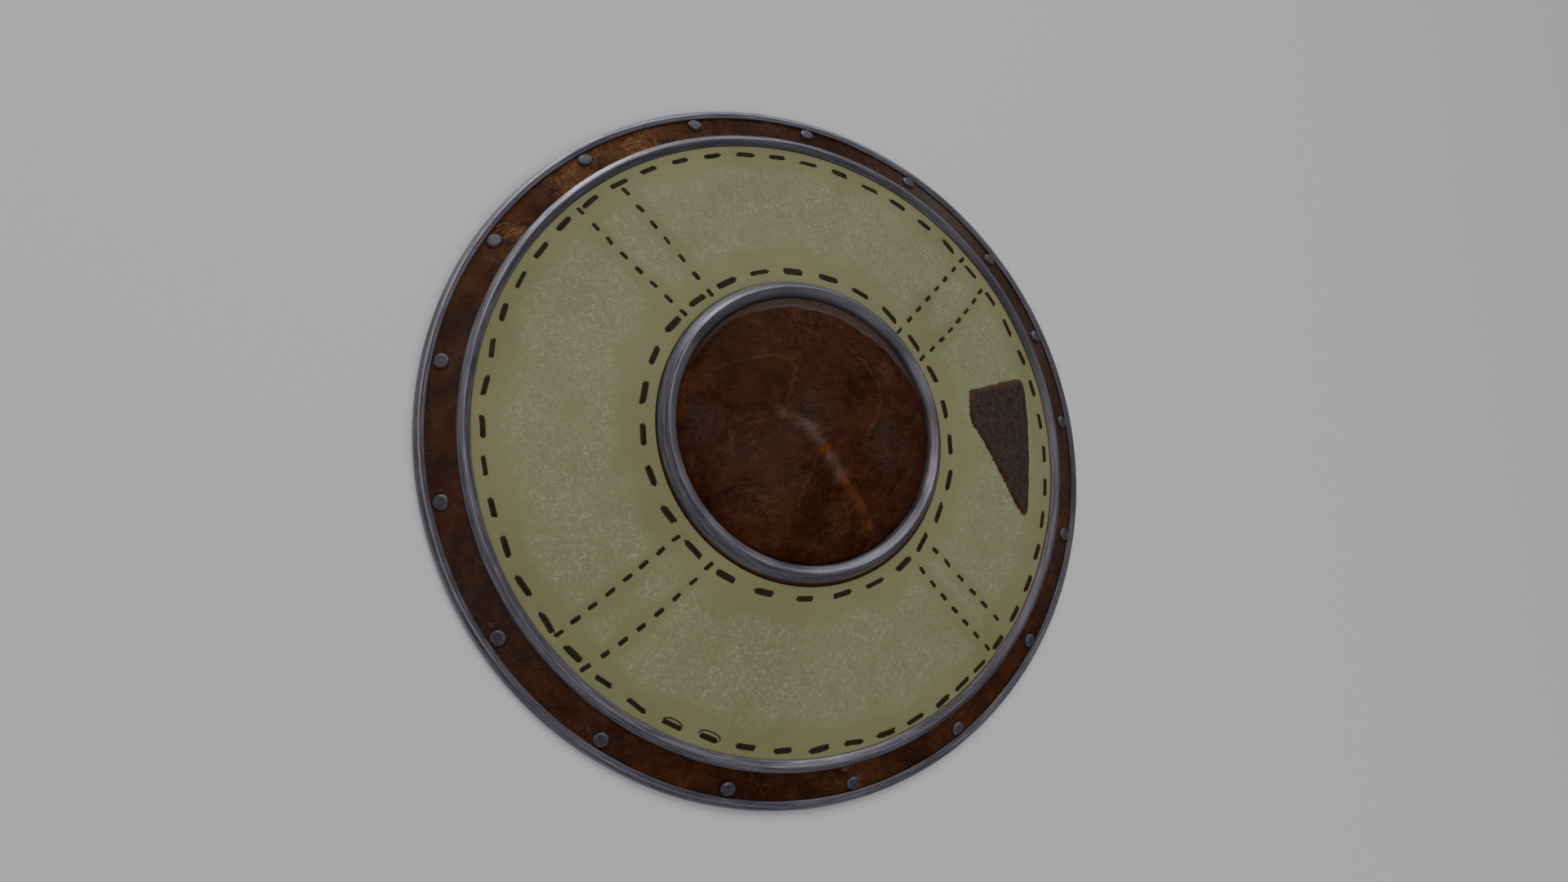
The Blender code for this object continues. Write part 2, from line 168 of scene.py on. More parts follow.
def course(turn, degrees, values):
    """Values given at some angles in degrees, run on in straight stretches between them."""
    return np.interp(np.degrees(turn) % 360, degrees, values)


def towards(turn, degrees, power):
    """1 towards one angle and 0 from a quarter turn away: the cosine to a power."""
    return np.clip(np.cos(turn - math.radians(degrees)), 0, 1) ** power


def unevenness(turn, across, seed, finest=9):
    """Slow waves of a hand-made surface, from about -1 to 1.

    It is the sum of a dozen sine waves, each with its own whole number of waves round the
    turn, its own number across, and its own phase.
    """
    draw = np.random.default_rng(seed)
    total = 0.0
    for _ in range(12):
        waves, slant = draw.integers(1, finest), draw.uniform(-90, 90)
        total = total + np.sin(waves * turn + slant * across + draw.uniform(0, 2 * math.pi))
    return total / 5.0


def smooth(value, low, high):
    """Smooth step from 0 at low to 1 at high."""
    share = np.clip((value - low) / (high - low), 0, 1)
    return share * share * (3 - 2 * share)


def rounded(low, high, count):
    """Stations from low to high that crowd towards both ends, along half a cosine."""
    return low + (high - low) * (1 - np.cos(np.linspace(0, math.pi, count))) / 2


def carried_round(radius, height, turns):
    """Grid of points of an outline carried round the axis: (r cos a, r sin a, h) for each turn a."""
    turn = np.linspace(0, 2 * math.pi, turns, endpoint=False)[:, None]
    return np.stack([radius * np.cos(turn), radius * np.sin(turn), height + 0 * radius * turn], -1)


def skin(name, points, closed_across=True, sharp=None):
    """A mesh from a grid of points (turn, place along the outline, xyz).

    Each square of the grid is a face. The grid closes round the turn, and across too unless
    the outline ends on the axis, where its points are merged into poles. The faces are turned
    outwards by the sign of the volume that they enclose.
    """
    turns, across = points.shape[:2]
    number = np.arange(turns * across).reshape(turns, across)
    beside = np.roll(number, -1, axis=1)
    faces = np.stack([number, beside, np.roll(beside, -1, axis=0), np.roll(number, -1, axis=0)], -1)
    if not closed_across:
        faces = faces[:, :-1]
    faces, flat = faces.reshape(-1, 4), points.reshape(-1, 3)
    near = flat - flat.mean(axis=0)
    a, b, c, d = (near[faces[:, k]] for k in range(4))
    if np.sum(a * (np.cross(b, c) + np.cross(c, d))) < 0:
        faces = faces[:, ::-1]
    mesh = bpy.data.meshes.new(name)
    mesh.from_pydata(flat, [], faces)
    mesh.shade_smooth()
    if sharp:
        mesh.set_sharp_from_angle(angle=math.radians(sharp))
    return mesh


def merged(mesh, face_out=False):
    """The mesh with its doubled points merged, and its faces turned outwards where asked."""
    work = bmesh.new()
    work.from_mesh(mesh)
    bmesh.ops.remove_doubles(work, verts=work.verts, dist=1e-6)
    bmesh.ops.dissolve_degenerate(work, edges=work.edges, dist=1e-7)
    if face_out:
        bmesh.ops.recalc_face_normals(work, faces=work.faces)
    work.to_mesh(mesh)
    work.free()
    return mesh


def mark(mesh, **marks):
    """Stores numbers, or vectors, for the points of the mesh, for the materials to read."""
    for name, values in marks.items():
        values = np.asarray(values, float)
        vector = values.size == 3 * len(mesh.vertices)
        stored = mesh.attributes.new(name, "FLOAT_VECTOR" if vector else "FLOAT", "POINT")
        stored.data.foreach_set("vector" if vector else "value", values.ravel())


def piece(name, mesh, finish, slot, *nodes):
    """Puts a finished mesh in the scene: on the root body, in place of its nodes. Its slot is not used."""
    mesh.materials.append(finish)
    thing = in_scene(name, mesh)
    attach(thing, "root")
    if nodes:
        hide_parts(*nodes)


def add(tree, kind, sockets=None, **settings):
    """Adds a shader node. Each socket takes a value, or an output to link to it."""
    made = tree.nodes.new(kind)
    for name, value in settings.items():
        setattr(made, name, value)
    for name, value in (sockets or {}).items():
        if isinstance(value, bpy.types.NodeSocket):
            tree.links.new(value, made.inputs[name])
        else:
            made.inputs[name].default_value = value
    return made


def own_place(tree):
    """The piece's own coordinates."""
    return add(tree, "ShaderNodeTexCoord").outputs["Object"]


def read(tree, name, output="Fac"):
    """What is stored under a name on the mesh."""
    return add(tree, "ShaderNodeAttribute", attribute_name=name).outputs[output]


def stretched(tree, place, scale):
    """A place squeezed or stretched along each axis."""
    return add(tree, "ShaderNodeMapping", {"Vector": place, "Scale": scale}).outputs[0]


def noise(tree, place, scale, detail=4.0, roughness=0.55, distortion=0.0):
    """Output of a noise texture at a place."""
    made = add(tree, "ShaderNodeTexNoise", {"Vector": place, "Scale": scale, "Detail": detail,
                                            "Roughness": roughness, "Distortion": distortion})
    return made.outputs["Fac"]


def ramp(tree, value, low, high, start=0.0, end=1.0):
    """A smooth step of a value, from start at low to end at high."""
    made = add(tree, "ShaderNodeMapRange",
               {"Value": value, "From Min": low, "From Max": high, "To Min": start, "To Max": end},
               interpolation_type="SMOOTHSTEP")
    return made.outputs["Result"]


def reckoned(tree, operation, first, *others):
    """A value worked out with others one after another."""
    for other in others:
        first = add(tree, "ShaderNodeMath", {0: first, 1: other}, operation=operation).outputs[0]
    return first


def times(tree, *values):
    """Product of some values."""
    return reckoned(tree, "MULTIPLY", *values)


def plus(tree, *values):
    """Sum of some values."""
    return reckoned(tree, "ADD", *values)


def thin_line(tree, value, level, width):
    """1 where a value crosses a level, and 0 from width away on either side."""
    away = reckoned(tree, "SUBTRACT", value, level)
    away = add(tree, "ShaderNodeMath", {0: away}, operation="ABSOLUTE").outputs[0]
    return ramp(tree, away, 0.0, width, 1.0, 0.0)


def coats(tree, colour, *layers):
    """A colour with coats of others over it, each a mask and a colour, laid in turn."""
    for mask, coat in layers:
        under, over = (value if isinstance(value, bpy.types.NodeSocket) else (*value, 1.0)
                       for value in (colour, coat))
        colour = add(tree, "ShaderNodeMix", {0: mask, 6: under, 7: over}, data_type="RGBA").outputs[2]
    return colour


def finished(made, colour, height, depth, roughness=None):
    """The material with its colour, its height as a bump of some depth, and any roughness linked."""
    tree = made.node_tree
    sockets = tree.nodes["Principled BSDF"].inputs
    bump = add(tree, "ShaderNodeBump", {"Height": height, "Distance": depth})
    tree.links.new(colour, sockets["Base Color"])
    tree.links.new(bump.outputs["Normal"], sockets["Normal"])
    if roughness:
        tree.links.new(roughness, sockets["Roughness"])
    return made


def old_leather_group():
    """Marks of old dyed leather: mottling, brush strokes of the dye, worn spots, veins, grain."""
    tree = bpy.data.node_groups.new("old_leather", "ShaderNodeTree")
    tree.interface.new_socket("Place", in_out="INPUT", socket_type="NodeSocketVector")
    labels = ("Mottle", "Strokes", "Warm", "Veins", "Grain")
    for label in labels:
        tree.interface.new_socket(label, in_out="OUTPUT", socket_type="NodeSocketFloat")
    place = tree.nodes.new("NodeGroupInput").outputs["Place"]
    mottle = noise(tree, place, 34.0, 7.0, 0.68, 0.9)
    strokes = noise(tree, stretched(tree, place, (0.32, 1.0, 1.0)), 330.0, 5.0, 0.68, 1.0)
    warm = times(tree, ramp(tree, noise(tree, place, 46.0, 6.0, 0.68, 1.3), 0.48, 0.66),
                 ramp(tree, noise(tree, place, 11.0, 3.0, 0.5, 0.4), 0.40, 0.58))
    veins = times(tree, thin_line(tree, noise(tree, place, 19.0, 4.0, 0.58, 1.4), 0.5, 0.013),
                  ramp(tree, noise(tree, place, 15.0, 3.0, 0.5), 0.46, 0.60))
    fine = times(tree, thin_line(tree, noise(tree, place, 48.0, 4.0, 0.6, 1.6), 0.52, 0.022),
                 ramp(tree, noise(tree, place, 22.0, 3.0, 0.5), 0.50, 0.62), 0.6)
    grain = plus(tree, noise(tree, place, 160.0, 5.0, 0.6, 1.2),
                 times(tree, noise(tree, place, 900.0, 3.0, 0.6), 0.35))
    given_out = tree.nodes.new("NodeGroupOutput")
    for label, value in zip(labels, (mottle, strokes, warm, plus(tree, veins, fine), grain)):
        tree.links.new(value, given_out.inputs[label])
    return tree


old_leather = old_leather_group()


def leather_marks(tree, place):
    """The marks of old leather at a place."""
    return add(tree, "ShaderNodeGroup", {"Place": place}, node_tree=old_leather).outputs


def flesh_side(tree, marks, dyed):
    """The dyed colour, or the pale fibrous flesh side where the mesh is marked as that."""
    pale = coats(
        tree, (0.085, 0.047, 0.027),
        (ramp(tree, marks["Mottle"], 0.35, 0.65), (0.150, 0.094, 0.058)),
        (ramp(tree, marks["Strokes"], 0.45, 0.70, 0.0, 0.5), (0.20, 0.14, 0.095)))
    return coats(tree, dyed, (read(tree, "flesh"), pale))


def band_leather():
    """Red-brown dyed hide, with painted highlight towards the key light and painted grey sheen."""
    made, tree = new_material("band_leather", 0.70, 0.03)
    place = own_place(tree)
    marks = leather_marks(tree, place)
    worn = read(tree, "worn")
    clouds = noise(tree, place, 27.0, 6.0, 0.68, 0.9)
    cracks = thin_line(tree, noise(tree, place, 30.0, 6.0, 0.66, 2.4), 0.5, 0.030)
    colour = coats(
        tree, (0.0250, 0.0094, 0.0052),
        (ramp(tree, marks["Mottle"], 0.36, 0.62), (0.0500, 0.0165, 0.0074)),
        (ramp(tree, marks["Strokes"], 0.48, 0.72, 0.0, 0.6), (0.074, 0.024, 0.010)),
        # painted highlight: lighter, warmer colour and paler veins and cracks where the band faces the key
        # light
        (times(tree, marks["Warm"], ramp(tree, worn, 0.0, 1.0, 0.45, 1.0)), (0.096, 0.034, 0.009)),
        (ramp(tree, clouds, 0.50, 0.38, 0.0, 0.55), (0.0200, 0.0074, 0.0044)),
        (ramp(tree, clouds, 0.54, 0.68, 0.0, 0.45), (0.092, 0.034, 0.013)),
        (times(tree, worn, ramp(tree, marks["Mottle"], 0.38, 0.60, 0.15, 1.0)), (0.122, 0.050, 0.018)),
        (times(tree, marks["Veins"], ramp(tree, worn, 0.0, 0.7, 0.30, 0.9)), (0.230, 0.124, 0.056)),
        (times(tree, cracks, ramp(tree, worn, 0.15, 0.8, 0.0, 0.7)), (0.240, 0.120, 0.048)),
        # painted sheen: grey, strongest at the far upper right of the band
        (read(tree, "greyed"), (0.096, 0.080, 0.075)))
    return finished(made, flesh_side(tree, marks, colour), marks["Grain"], 0.0005)


def stud_turns():
    """Angle of each of the 17 studs: sixteen even steps, then one halfway over the gap left."""
    even = FIRST_STUD + STUD_STEP * np.arange(16)
    return np.radians(np.append(even, (even[-1] + FIRST_STUD + 360.0) / 2))


def flesh_height(x, y):
    """Height of the hide's back: its thickness in from its outer face, with the waves of drying."""
    turn, radius = polar(x, y)
    waves = 0.00035 * unevenness(turn, radius, 4, 14) * smooth(-radius, -0.290, -0.280)
    return over_hide(radius, -HIDE_THICKNESS, 0.0) + waves


outward = np.concatenate([rounded(HAND_HOLE, HAND_HOLE + 0.004, 6)[:-1],
                          np.linspace(HAND_HOLE + 0.004, SHELF_START, 16),
                          np.linspace(RING_FOOT, BAND_START, 18), [HIDE_EDGE - 0.0016, HIDE_EDGE]])
soften = 0.0014 * np.exp(-(outward - HAND_HOLE) / 0.0012)
points = carried_round(np.concatenate([outward, outward[::-1]]), 0.0, 480)
x, y = points[..., 0], points[..., 1]
turn, radius = polar(x, y)
upper = np.arange(points.shape[1]) < len(outward)
bare = smooth(radius, 0.2708, 0.2745) * smooth(-radius, -BAND_START, -BAND_START + 0.004)
pressed = sum(np.exp(-(np.hypot(x - STUD_CIRCLE * math.cos(stud), y - STUD_CIRCLE * math.sin(stud))
                       / STUD_DISH) ** 4) for stud in stud_turns())
outer_face = hide_height(radius) + bare * (0.00028 * unevenness(turn, radius, 3, 24) - 0.00025 * pressed)
points[..., 2] = (np.where(upper, outer_face, flesh_height(x, y))
                  + np.concatenate([-soften, soften[::-1]]))
# painted highlight: the band lighter and warmer where it faces the key light, up and to the left, and a
# little at the bottom
light_side = towards(turn, 128, 6) + 0.35 * towards(turn, 285, 8)
# painted sheen: grey strongest at the far upper right, where the band catches a grazing reflection, and
# fainter on the left
grey_film = course(turn, [0, 34, 40, 46, 54, 62, 75, 140, 170, 215, 245, 320, 345, 360],
                   [0.38, 0.36, 0.55, 0.72, 0.70, 0.30, 0.05, 0.02, 0.14, 0.12, 0.0, 0.02, 0.28, 0.38])
mesh = skin("hide_body_skin", points)
mark(mesh, worn=light_side * (0.46 + 0.46 * unevenness(turn, radius, 5, 30)).clip(0, 0.9),
     greyed=upper * grey_film * (0.75 + 0.25 * unevenness(turn, radius, 6, 16)),
     flesh=~upper + 0 * radius)
piece("hide_body_skin", mesh, band_leather(), "brown_leather", "hide_body")


# Cream facing: a ring of scraped rawhide 2 mm thick, laid on the hide over the whole field. Its
# outer edge is held by the field ring, its inner edge stops just short of the boss's flange,
# and rows of stitches hold it down. Its hole was cut slightly off the middle.
FACING_THICKNESS = 0.0020
FACING_OUTER = 0.2620
FACING_HOLE = 0.1264
HOLE_SHIFT = (0.0004, -0.0011)
# length and width of the stitches of each ring, and of the short radial rows
OUTER_STITCH = (0.0172, 0.0040)
INNER_STITCH = (0.0180, 0.0048)
RADIAL_STITCH = (0.0083, 0.0030)
# the rings of stitches wander a little: angle in degrees against radius in metres
OUTER_ROW_COURSE = ([0, 60, 120, 260, 290, 310, 325, 350, 360],
                    [0.2525, 0.2495, 0.2525, 0.2525, 0.2555, 0.2565, 0.2560, 0.2525, 0.2525])
INNER_ROW_COURSE = ([0, 200, 225, 250, 280, 305, 345, 360],
                    [0.1360, 0.1360, 0.1385, 0.1380, 0.1362, 0.1385, 0.1385, 0.1360])
# start radius, end radius, number of stitches, first and last angle of each radial row
RADIAL_ROWS = [(0.1350, 0.2438, 7, 123.0, 123.0), (0.1353, 0.2511, 8, 135.6, 132.7),
               (0.1350, 0.2451, 8, 28.7, 34.3), (0.1326, 0.2513, 8, 42.0, 42.0),
               (0.1540, 0.2500, 7, 309.5, 311.7), (0.1527, 0.2403, 6, 317.6, 317.6),
               (0.1417, 0.2506, 8, 216.5, 216.5), (0.1398, 0.2537, 8, 230.0, 223.8)]
SPOT_BY_PATCH = (0.1745, -0.0060)   # a spot of bloom in plan, at the long edge of the patch
# the maker stepped both rings off by eye between a few marks: stitch number against angle
OUTER_TURNS = np.interp(np.arange(52), [0, 11, 24, 39, 42, 44, 45, 51],
                        [3.3, 81.6, 171.3, 277.1, 297.4, 308.0, 314.4, 356.2])
INNER_TURNS = np.interp(np.arange(27), [0, 6, 12, 17, 20, 22, 23, 26],
                        [8.0, 89.0, 167.7, 236.5, 278.8, 305.2, 315.9, 354.9])


def row_of(radius, turn, heading, size):
    """Stitches as rows of radius, angle, heading, length and width, with the angles in degrees.

    The heading is measured from the outward line through the stitch.
    """
    return np.stack(np.broadcast_arrays(radius, turn, heading, *size), -1)


def radial_row(start, end, number, first, last):
    """A straight row of short stitches from one radius and angle to another."""
    share = np.linspace(0, 1, number)
    lean = math.degrees(math.atan2(math.radians(last - first) * (start + end) / 2, end - start))
    return row_of(start + (end - start) * share, first + (last - first) * share, lean, RADIAL_STITCH)


def hand_sewn(rows, seed):
    """The rows as they came out: each stitch a little off in place, heading, length and width.

    Their angles come out as radians.
    """
    draw = np.random.default_rng(seed)
    sewn = []
    for row in rows:
        number = len(row)
        off = np.stack([draw.normal(0, 0.0004, number), np.zeros(number), draw.normal(0, 4.0, number),
                        row[:, 3] * draw.uniform(-0.10, 0.09, number),
                        row[:, 4] * draw.uniform(-0.14, 0.14, number)], -1)
        sewn.append((row + off) * np.array([1, math.pi / 180, math.pi / 180, 1, 1]))
    return sewn


outer_row, inner_row, *radial_rows = hand_sewn(
    [row_of(np.interp(OUTER_TURNS, *OUTER_ROW_COURSE), OUTER_TURNS, 90.0, OUTER_STITCH),
     row_of(np.interp(INNER_TURNS, *INNER_ROW_COURSE), INNER_TURNS, 90.0, INNER_STITCH)]
    + [radial_row(*row) for row in RADIAL_ROWS], 11)


def stitch_frame(stitch):
    """Middle of a stitch in plan, and its unit directions along and across."""
    radius, turn, heading = stitch[:3]
    along = np.array([math.cos(turn + heading), math.sin(turn + heading)])
    return radius * np.array([math.cos(turn), math.sin(turn)]), along, np.array([-along[1], along[0]])


def bell(away, width):
    """A bell curve: 1 in its middle and 1/e at width away."""
    return np.exp(-(away / width) ** 2)


def stitch_dents(x, y):
    """How far the stitches have pulled the rawhide down.

    Round each stitch the dent falls off as a bell of the distance from the stitch's own line,
    and it is deepest at the two awl holes where the stitch goes through.
    """
    down = np.zeros_like(x)
    for stitch in np.concatenate([outer_row, inner_row, *radial_rows]):
        middle, along, across = stitch_frame(stitch)
        length, width = stitch[3:]
        near = np.hypot(x - middle[0], y - middle[1]) < length
        u = (x[near] - middle[0]) * along[0] + (y[near] - middle[1]) * along[1]
        v = (x[near] - middle[0]) * across[0] + (y[near] - middle[1]) * across[1]
        beyond = np.hypot(np.clip(np.abs(u) - length / 2, 0, None), v)
        hole = np.hypot(np.abs(u) - length / 2, v)
        down[near] += 0.00040 * bell(beyond, 0.75 * width) + 0.00050 * bell(hole, 0.45 * width)
    return down


def rawhide_height(x, y):
    """Height of the sewn-down rawhide: the facing, the slow waves it dried in, and the dents."""
    turn, radius = polar(x, y)
    free = np.clip((FACING_OUTER - 0.003 - radius) / 0.02, 0, 1) * np.clip((radius - 0.128) / 0.01, 0, 1)
    waves = 0.00022 * free * unevenness(turn, radius, 21, 16)
    return over_hide(radius, FACING_THICKNESS) + waves - stitch_dents(x, y)


def bloom_places(x, y):
    """Where the grey-green bloom lies: in the middle of each panel, clear of edges and seams."""
    turn, radius = polar(x, y)
    wander = 0.006 * unevenness(turn, radius, 31, 22)
    clear = smooth(radius + wander, 0.150, 0.166) * smooth(-radius - wander, -0.243, -0.228)
    for start, end, _, first, last in RADIAL_ROWS:
        line = np.radians(first + (last - first) * (radius - start) / (end - start))
        away = radius * np.abs((turn - line + math.pi) % (2 * math.pi) - math.pi)
        clear = clear * smooth(away + 0.7 * wander, 0.004, 0.012)
    by_patch = bell(np.hypot(x - SPOT_BY_PATCH[0], (y - SPOT_BY_PATCH[1]) / 1.8), 0.0055)
    return np.maximum(clear, 0.9 * by_patch)


def rawhide():
    """Scraped rawhide, cream and matt, with a fibrous grey-green bloom in each panel."""
    made, tree = new_material("cream_rawhide", 0.80, 0.20)
    place = own_place(tree)
    tone = noise(tree, place, 11.0, 4.0, 0.5, 0.4)
    scraped = noise(tree, stretched(tree, place, (0.25, 2.2, 1.0)), 40.0, 4.0, 0.6, 0.6)
    bloom = times(tree, read(tree, "bloom"),
                  ramp(tree, noise(tree, place, 34.0, 3.0, 0.6, 0.4), 0.34, 0.60, 0.4, 1.0))
    upright, level = (
        thin_line(tree, noise(tree, stretched(tree, place, squeeze), 420.0, 2.0, 0.6, 0.9), 0.5, 0.070)
        for squeeze in ((1.0, 0.50, 1.0), (0.50, 1.0, 1.0)))
    sparse = ramp(tree, noise(tree, place, 260.0, 3.0, 0.6, 0.6), 0.42, 0.58)
    flakes = times(tree, plus(tree, upright, level), sparse, bloom, 0.552)
    warm = ramp(tree, noise(tree, place, 380.0, 3.0, 0.6, 1.0), 0.54, 0.66)
    colour = coats(
        tree, (0.187, 0.187, 0.091),
        (ramp(tree, tone, 0.3, 0.7), (0.218, 0.218, 0.111)),
        (ramp(tree, scraped, 0.35, 0.75, 0.0, 0.25), (0.209, 0.187, 0.089)),
        (times(tree, warm, bloom, 0.7), (0.250, 0.218, 0.091)),
        (times(tree, bloom, 0.12), (0.273, 0.300, 0.191)),
        (flakes, (0.323, 0.373, 0.259)))
    grain = plus(tree, noise(tree, place, 700.0, 4.0, 0.6), times(tree, flakes, 0.8))
    return finished(made, colour, grain, 0.00022)


from_hole = np.concatenate([rounded(0.0, 0.0016, 6)[:-1],
                            np.linspace(0.0016, FACING_OUTER - FACING_HOLE, 92)])
path = np.concatenate([from_hole, np.linspace(1, 0, 6) * from_hole[-1]])
points = carried_round(FACING_HOLE + path, 0.0, 880)
inwards = 1 - path / path.max()
x = points[..., 0] + HOLE_SHIFT[0] * inwards
y = points[..., 1] + HOLE_SHIFT[1] * inwards
upper = np.arange(len(path)) < len(from_hole)
outer_face = rawhide_height(x, y) - 0.0011 * np.exp(-path / 0.0005)
points = np.stack([x, y, np.where(upper, outer_face, hide_height(np.hypot(x, y)) + GAP)], -1)
mesh = skin("rawhide_facing", points)
mark(mesh, bloom=bloom_places(x, y) * upper)
piece("rawhide_facing", mesh, rawhide(), "cream_rawhide", "cream_facing")


# Stitches: a thin waxed brown thong, passed two or three times through each pair of awl holes,
# so that a stitch is a flat bundle with ragged ends. One ring holds the facing's outer edge,
# one its inner edge, and four pairs of short rows run between them. They show behind as well.
STRAND_HEIGHT = 0.0009
STRAND_SIDES = 6
STRAND_STATIONS = np.array([-1, -0.95, -0.78, -0.4, 0, 0.4, 0.78, 0.95, 1])[:, None]
RAGGED_TURN = 264.3          # a clumsy stitch of the inner ring, in two lumps
SLACK_TURNS = ((241.7, 0.0032, 0.9), (248.9, 0.0035, 1.15))   # angle, slack and spread of a loop


def strand(middle, along, across, length, width, bend, height_at, side):
    """One pass of the thong as a closed grid (along, round, xyz).

    u runs from -1 to 1 along it and t once round it. Its half width is cut back at the ends,
    its back stands STRAND_HEIGHT off the surface that it lies on, and its ends dive through
    that surface. side is 1 on the front and -1 behind.
    """
    u = STRAND_STATIONS
    t = np.linspace(0, 2 * math.pi, STRAND_SIDES, endpoint=False)[None] + 0.5
    sway = bend * (1 - u ** 2)
    reach = middle + along * u * length / 2 + across * sway
    base = height_at(reach[:, 0], reach[:, 1])[:, None]
    half = width / 2 * (1 - 0.55 * np.abs(u) ** 9)
    x = reach[:, :1] + across[0] * half * np.cos(t)
    y = reach[:, 1:] + across[1] * half * np.cos(t)
    lift = 0.0002 + STRAND_HEIGHT * (1 - 0.5 * u ** 8) * np.sin(t).clip(-0.35, 1) - 0.0012 * u ** 24
    return np.stack([x, y, base + side * lift], -1)


def stitch(place, strands, looseness, draw):
    """The passes of one stitch, side by side, each a little longer, shorter or further along."""
    middle, along, across = stitch_frame(place)
    length, width = place[3:]
    made = []
    for k in range(strands):
        off = k - (strands - 1) / 2
        beside = off * width / (strands + 0.35) + looseness * draw.normal(0, 0.00011)
        shift = looseness * draw.normal(0, 0.030) * length
        long = length * (1.05 - 0.09 * abs(off) - 0.05 * looseness * draw.uniform(0, 1))
        bend = draw.uniform(-0.025, 0.025) * length
        made.append(strand(middle + along * shift + across * beside, along, across, long,
                           1.45 * width / (strands + 0.35), bend, rawhide_height, 1))
    return made


def behind(row, closed):
    """The stitches behind a row: each bridges the gap from one front stitch to the next."""
    following = np.roll(row, -1, axis=0)
    made = []
    for here, there in list(zip(row, following))[:None if closed else -1]:
        start, along, _ = stitch_frame(here)
        end, along_there, _ = stitch_frame(there)
        start, end = start + along * here[3] / 2, end - along_there * there[3] / 2
        gap = np.hypot(*(end - start))
        along = (end - start) / gap
        made.append(strand((start + end) / 2, along, np.array([-along[1], along[0]]), gap + 0.0016,
                           0.62 * here[4], 0.0, flesh_height, -1))
    return made


def slack_loop(place, slack, spread):
    """A slack pass that bulges inwards beside its stitch, as a thin closed grid.

    Its middle line is half an ellipse: spread times the stitch's half length along it, and
    slack towards the middle of the shield.
    """
    middle, along, across = stitch_frame(place)
    inward = across if np.dot(across, middle) < 0 else -across
    start = 0.0 if spread < 1 else -0.35
    v = np.linspace(start, math.pi - start, 19)[:, None]
    line = (middle + inward * 0.35 * place[4] + along * (spread * place[3] / 2) * np.cos(v)
            + inward * slack * np.sin(v))
    t = np.linspace(0, 2 * math.pi, STRAND_SIDES, endpoint=False)[None]
    flow = np.gradient(line, axis=0)
    flow /= np.hypot(flow[:, 0], flow[:, 1])[:, None]
    half = 0.00042 * (1 - 0.5 * np.abs(np.linspace(-1, 1, 19)[:, None]) ** 6)
    x = line[:, :1] - flow[:, 1:] * half * np.cos(t)
    y = line[:, 1:] + flow[:, :1] * half * np.cos(t)
    base = rawhide_height(line[:, 0], line[:, 1])[:, None]
    return np.stack([x, y, base + 0.0001 + half * (1 + np.sin(t))], -1)


def waxed_thong():
    """Brown waxed thong with fibres along it, each pass a shade of its own."""
    made, tree = new_material("waxed_thong", 0.65, 0.10)
    fibre = noise(tree, own_place(tree), 900.0, 4.0, 0.7, 0.8)
    colour = coats(
        tree, (0.013, 0.009, 0.004),
        (ramp(tree, fibre, 0.35, 0.68), (0.040, 0.028, 0.015)),
        (times(tree, read(tree, "shade"), 0.50), (0.044, 0.031, 0.018)))
    return finished(made, colour, fibre, 0.0004)


def sew(name, grids, thong, draw):
    """Joins strands into one piece: a face for each square of each grid, and both ends closed.

    Each strand is marked with a random shade of its own.
    """
    rows, sides = grids[0].shape[:2]
    number = np.arange(rows * sides).reshape(rows, sides)
    beside = np.roll(number, -1, axis=1)
    walls = np.stack([number[:-1], beside[:-1], beside[1:], number[1:]], -1).reshape(-1, 4)
    ends = [[end[k], end[k + 1], end[sides - 2 - k], end[sides - 1 - k]]
            for end in (number[0], number[-1][::-1]) for k in range(sides // 2 - 1)]
    one = np.concatenate([walls, ends])
    every = one[None] + np.arange(len(grids))[:, None, None] * rows * sides
    mesh = bpy.data.meshes.new(name)
    mesh.from_pydata(np.concatenate(grids).reshape(-1, 3), [], every.reshape(-1, 4))
    merged(mesh, face_out=True)
    mesh.shade_smooth()
    mark(mesh, shade=np.repeat(draw.uniform(0, 1, len(grids)), rows * sides))
    piece(name, mesh, thong, "lacing")


thong = waxed_thong()
draw = np.random.default_rng(17)
inner_row[6, 4] *= 1.35      # one at the top was sewn over twice
ragged = np.argmin(np.abs(INNER_TURNS - RAGGED_TURN))
sew("outer_ring_stitches", [made for place in outer_row for made in stitch(place, 3, 1.0, draw)],
    thong, draw)
sew("boss_ring_stitches", [made for k, place in enumerate(inner_row)
                           for made in stitch(place, 3, 4.0 if k == ragged else 1.0, draw)], thong, draw)
sew("radial_row_stitches", [made for row in radial_rows for place in row
                            for made in stitch(place, 2, 0.9, draw)], thong, draw)
sew("stitches_behind", behind(outer_row, True) + behind(inner_row, True)
    + [made for row in radial_rows for made in behind(row, False)], thong, draw)
sew("slack_loops", [slack_loop(outer_row[np.argmin(np.abs(OUTER_TURNS - turn))], slack, spread)
                    for turn, slack, spread in SLACK_TURNS], thong, draw)


# Leather boss: a disc of hide moulded wet over a wooden dome, with a flat flange that the boss
# ring holds down and that shows as a thin brown line outside it. Dyed dark red-brown, it has an
# old scar across the middle and fine veins that took the dye badly.
BOSS_RADIUS = 0.1109
BOSS_RISE = 0.0335
BOSS_FULLNESS = 1.05
BOSS_THICKNESS = 0.0020
FLANGE_RADIUS = 0.1256
FLANGE_SHIFT = (0.0003, -0.0009)
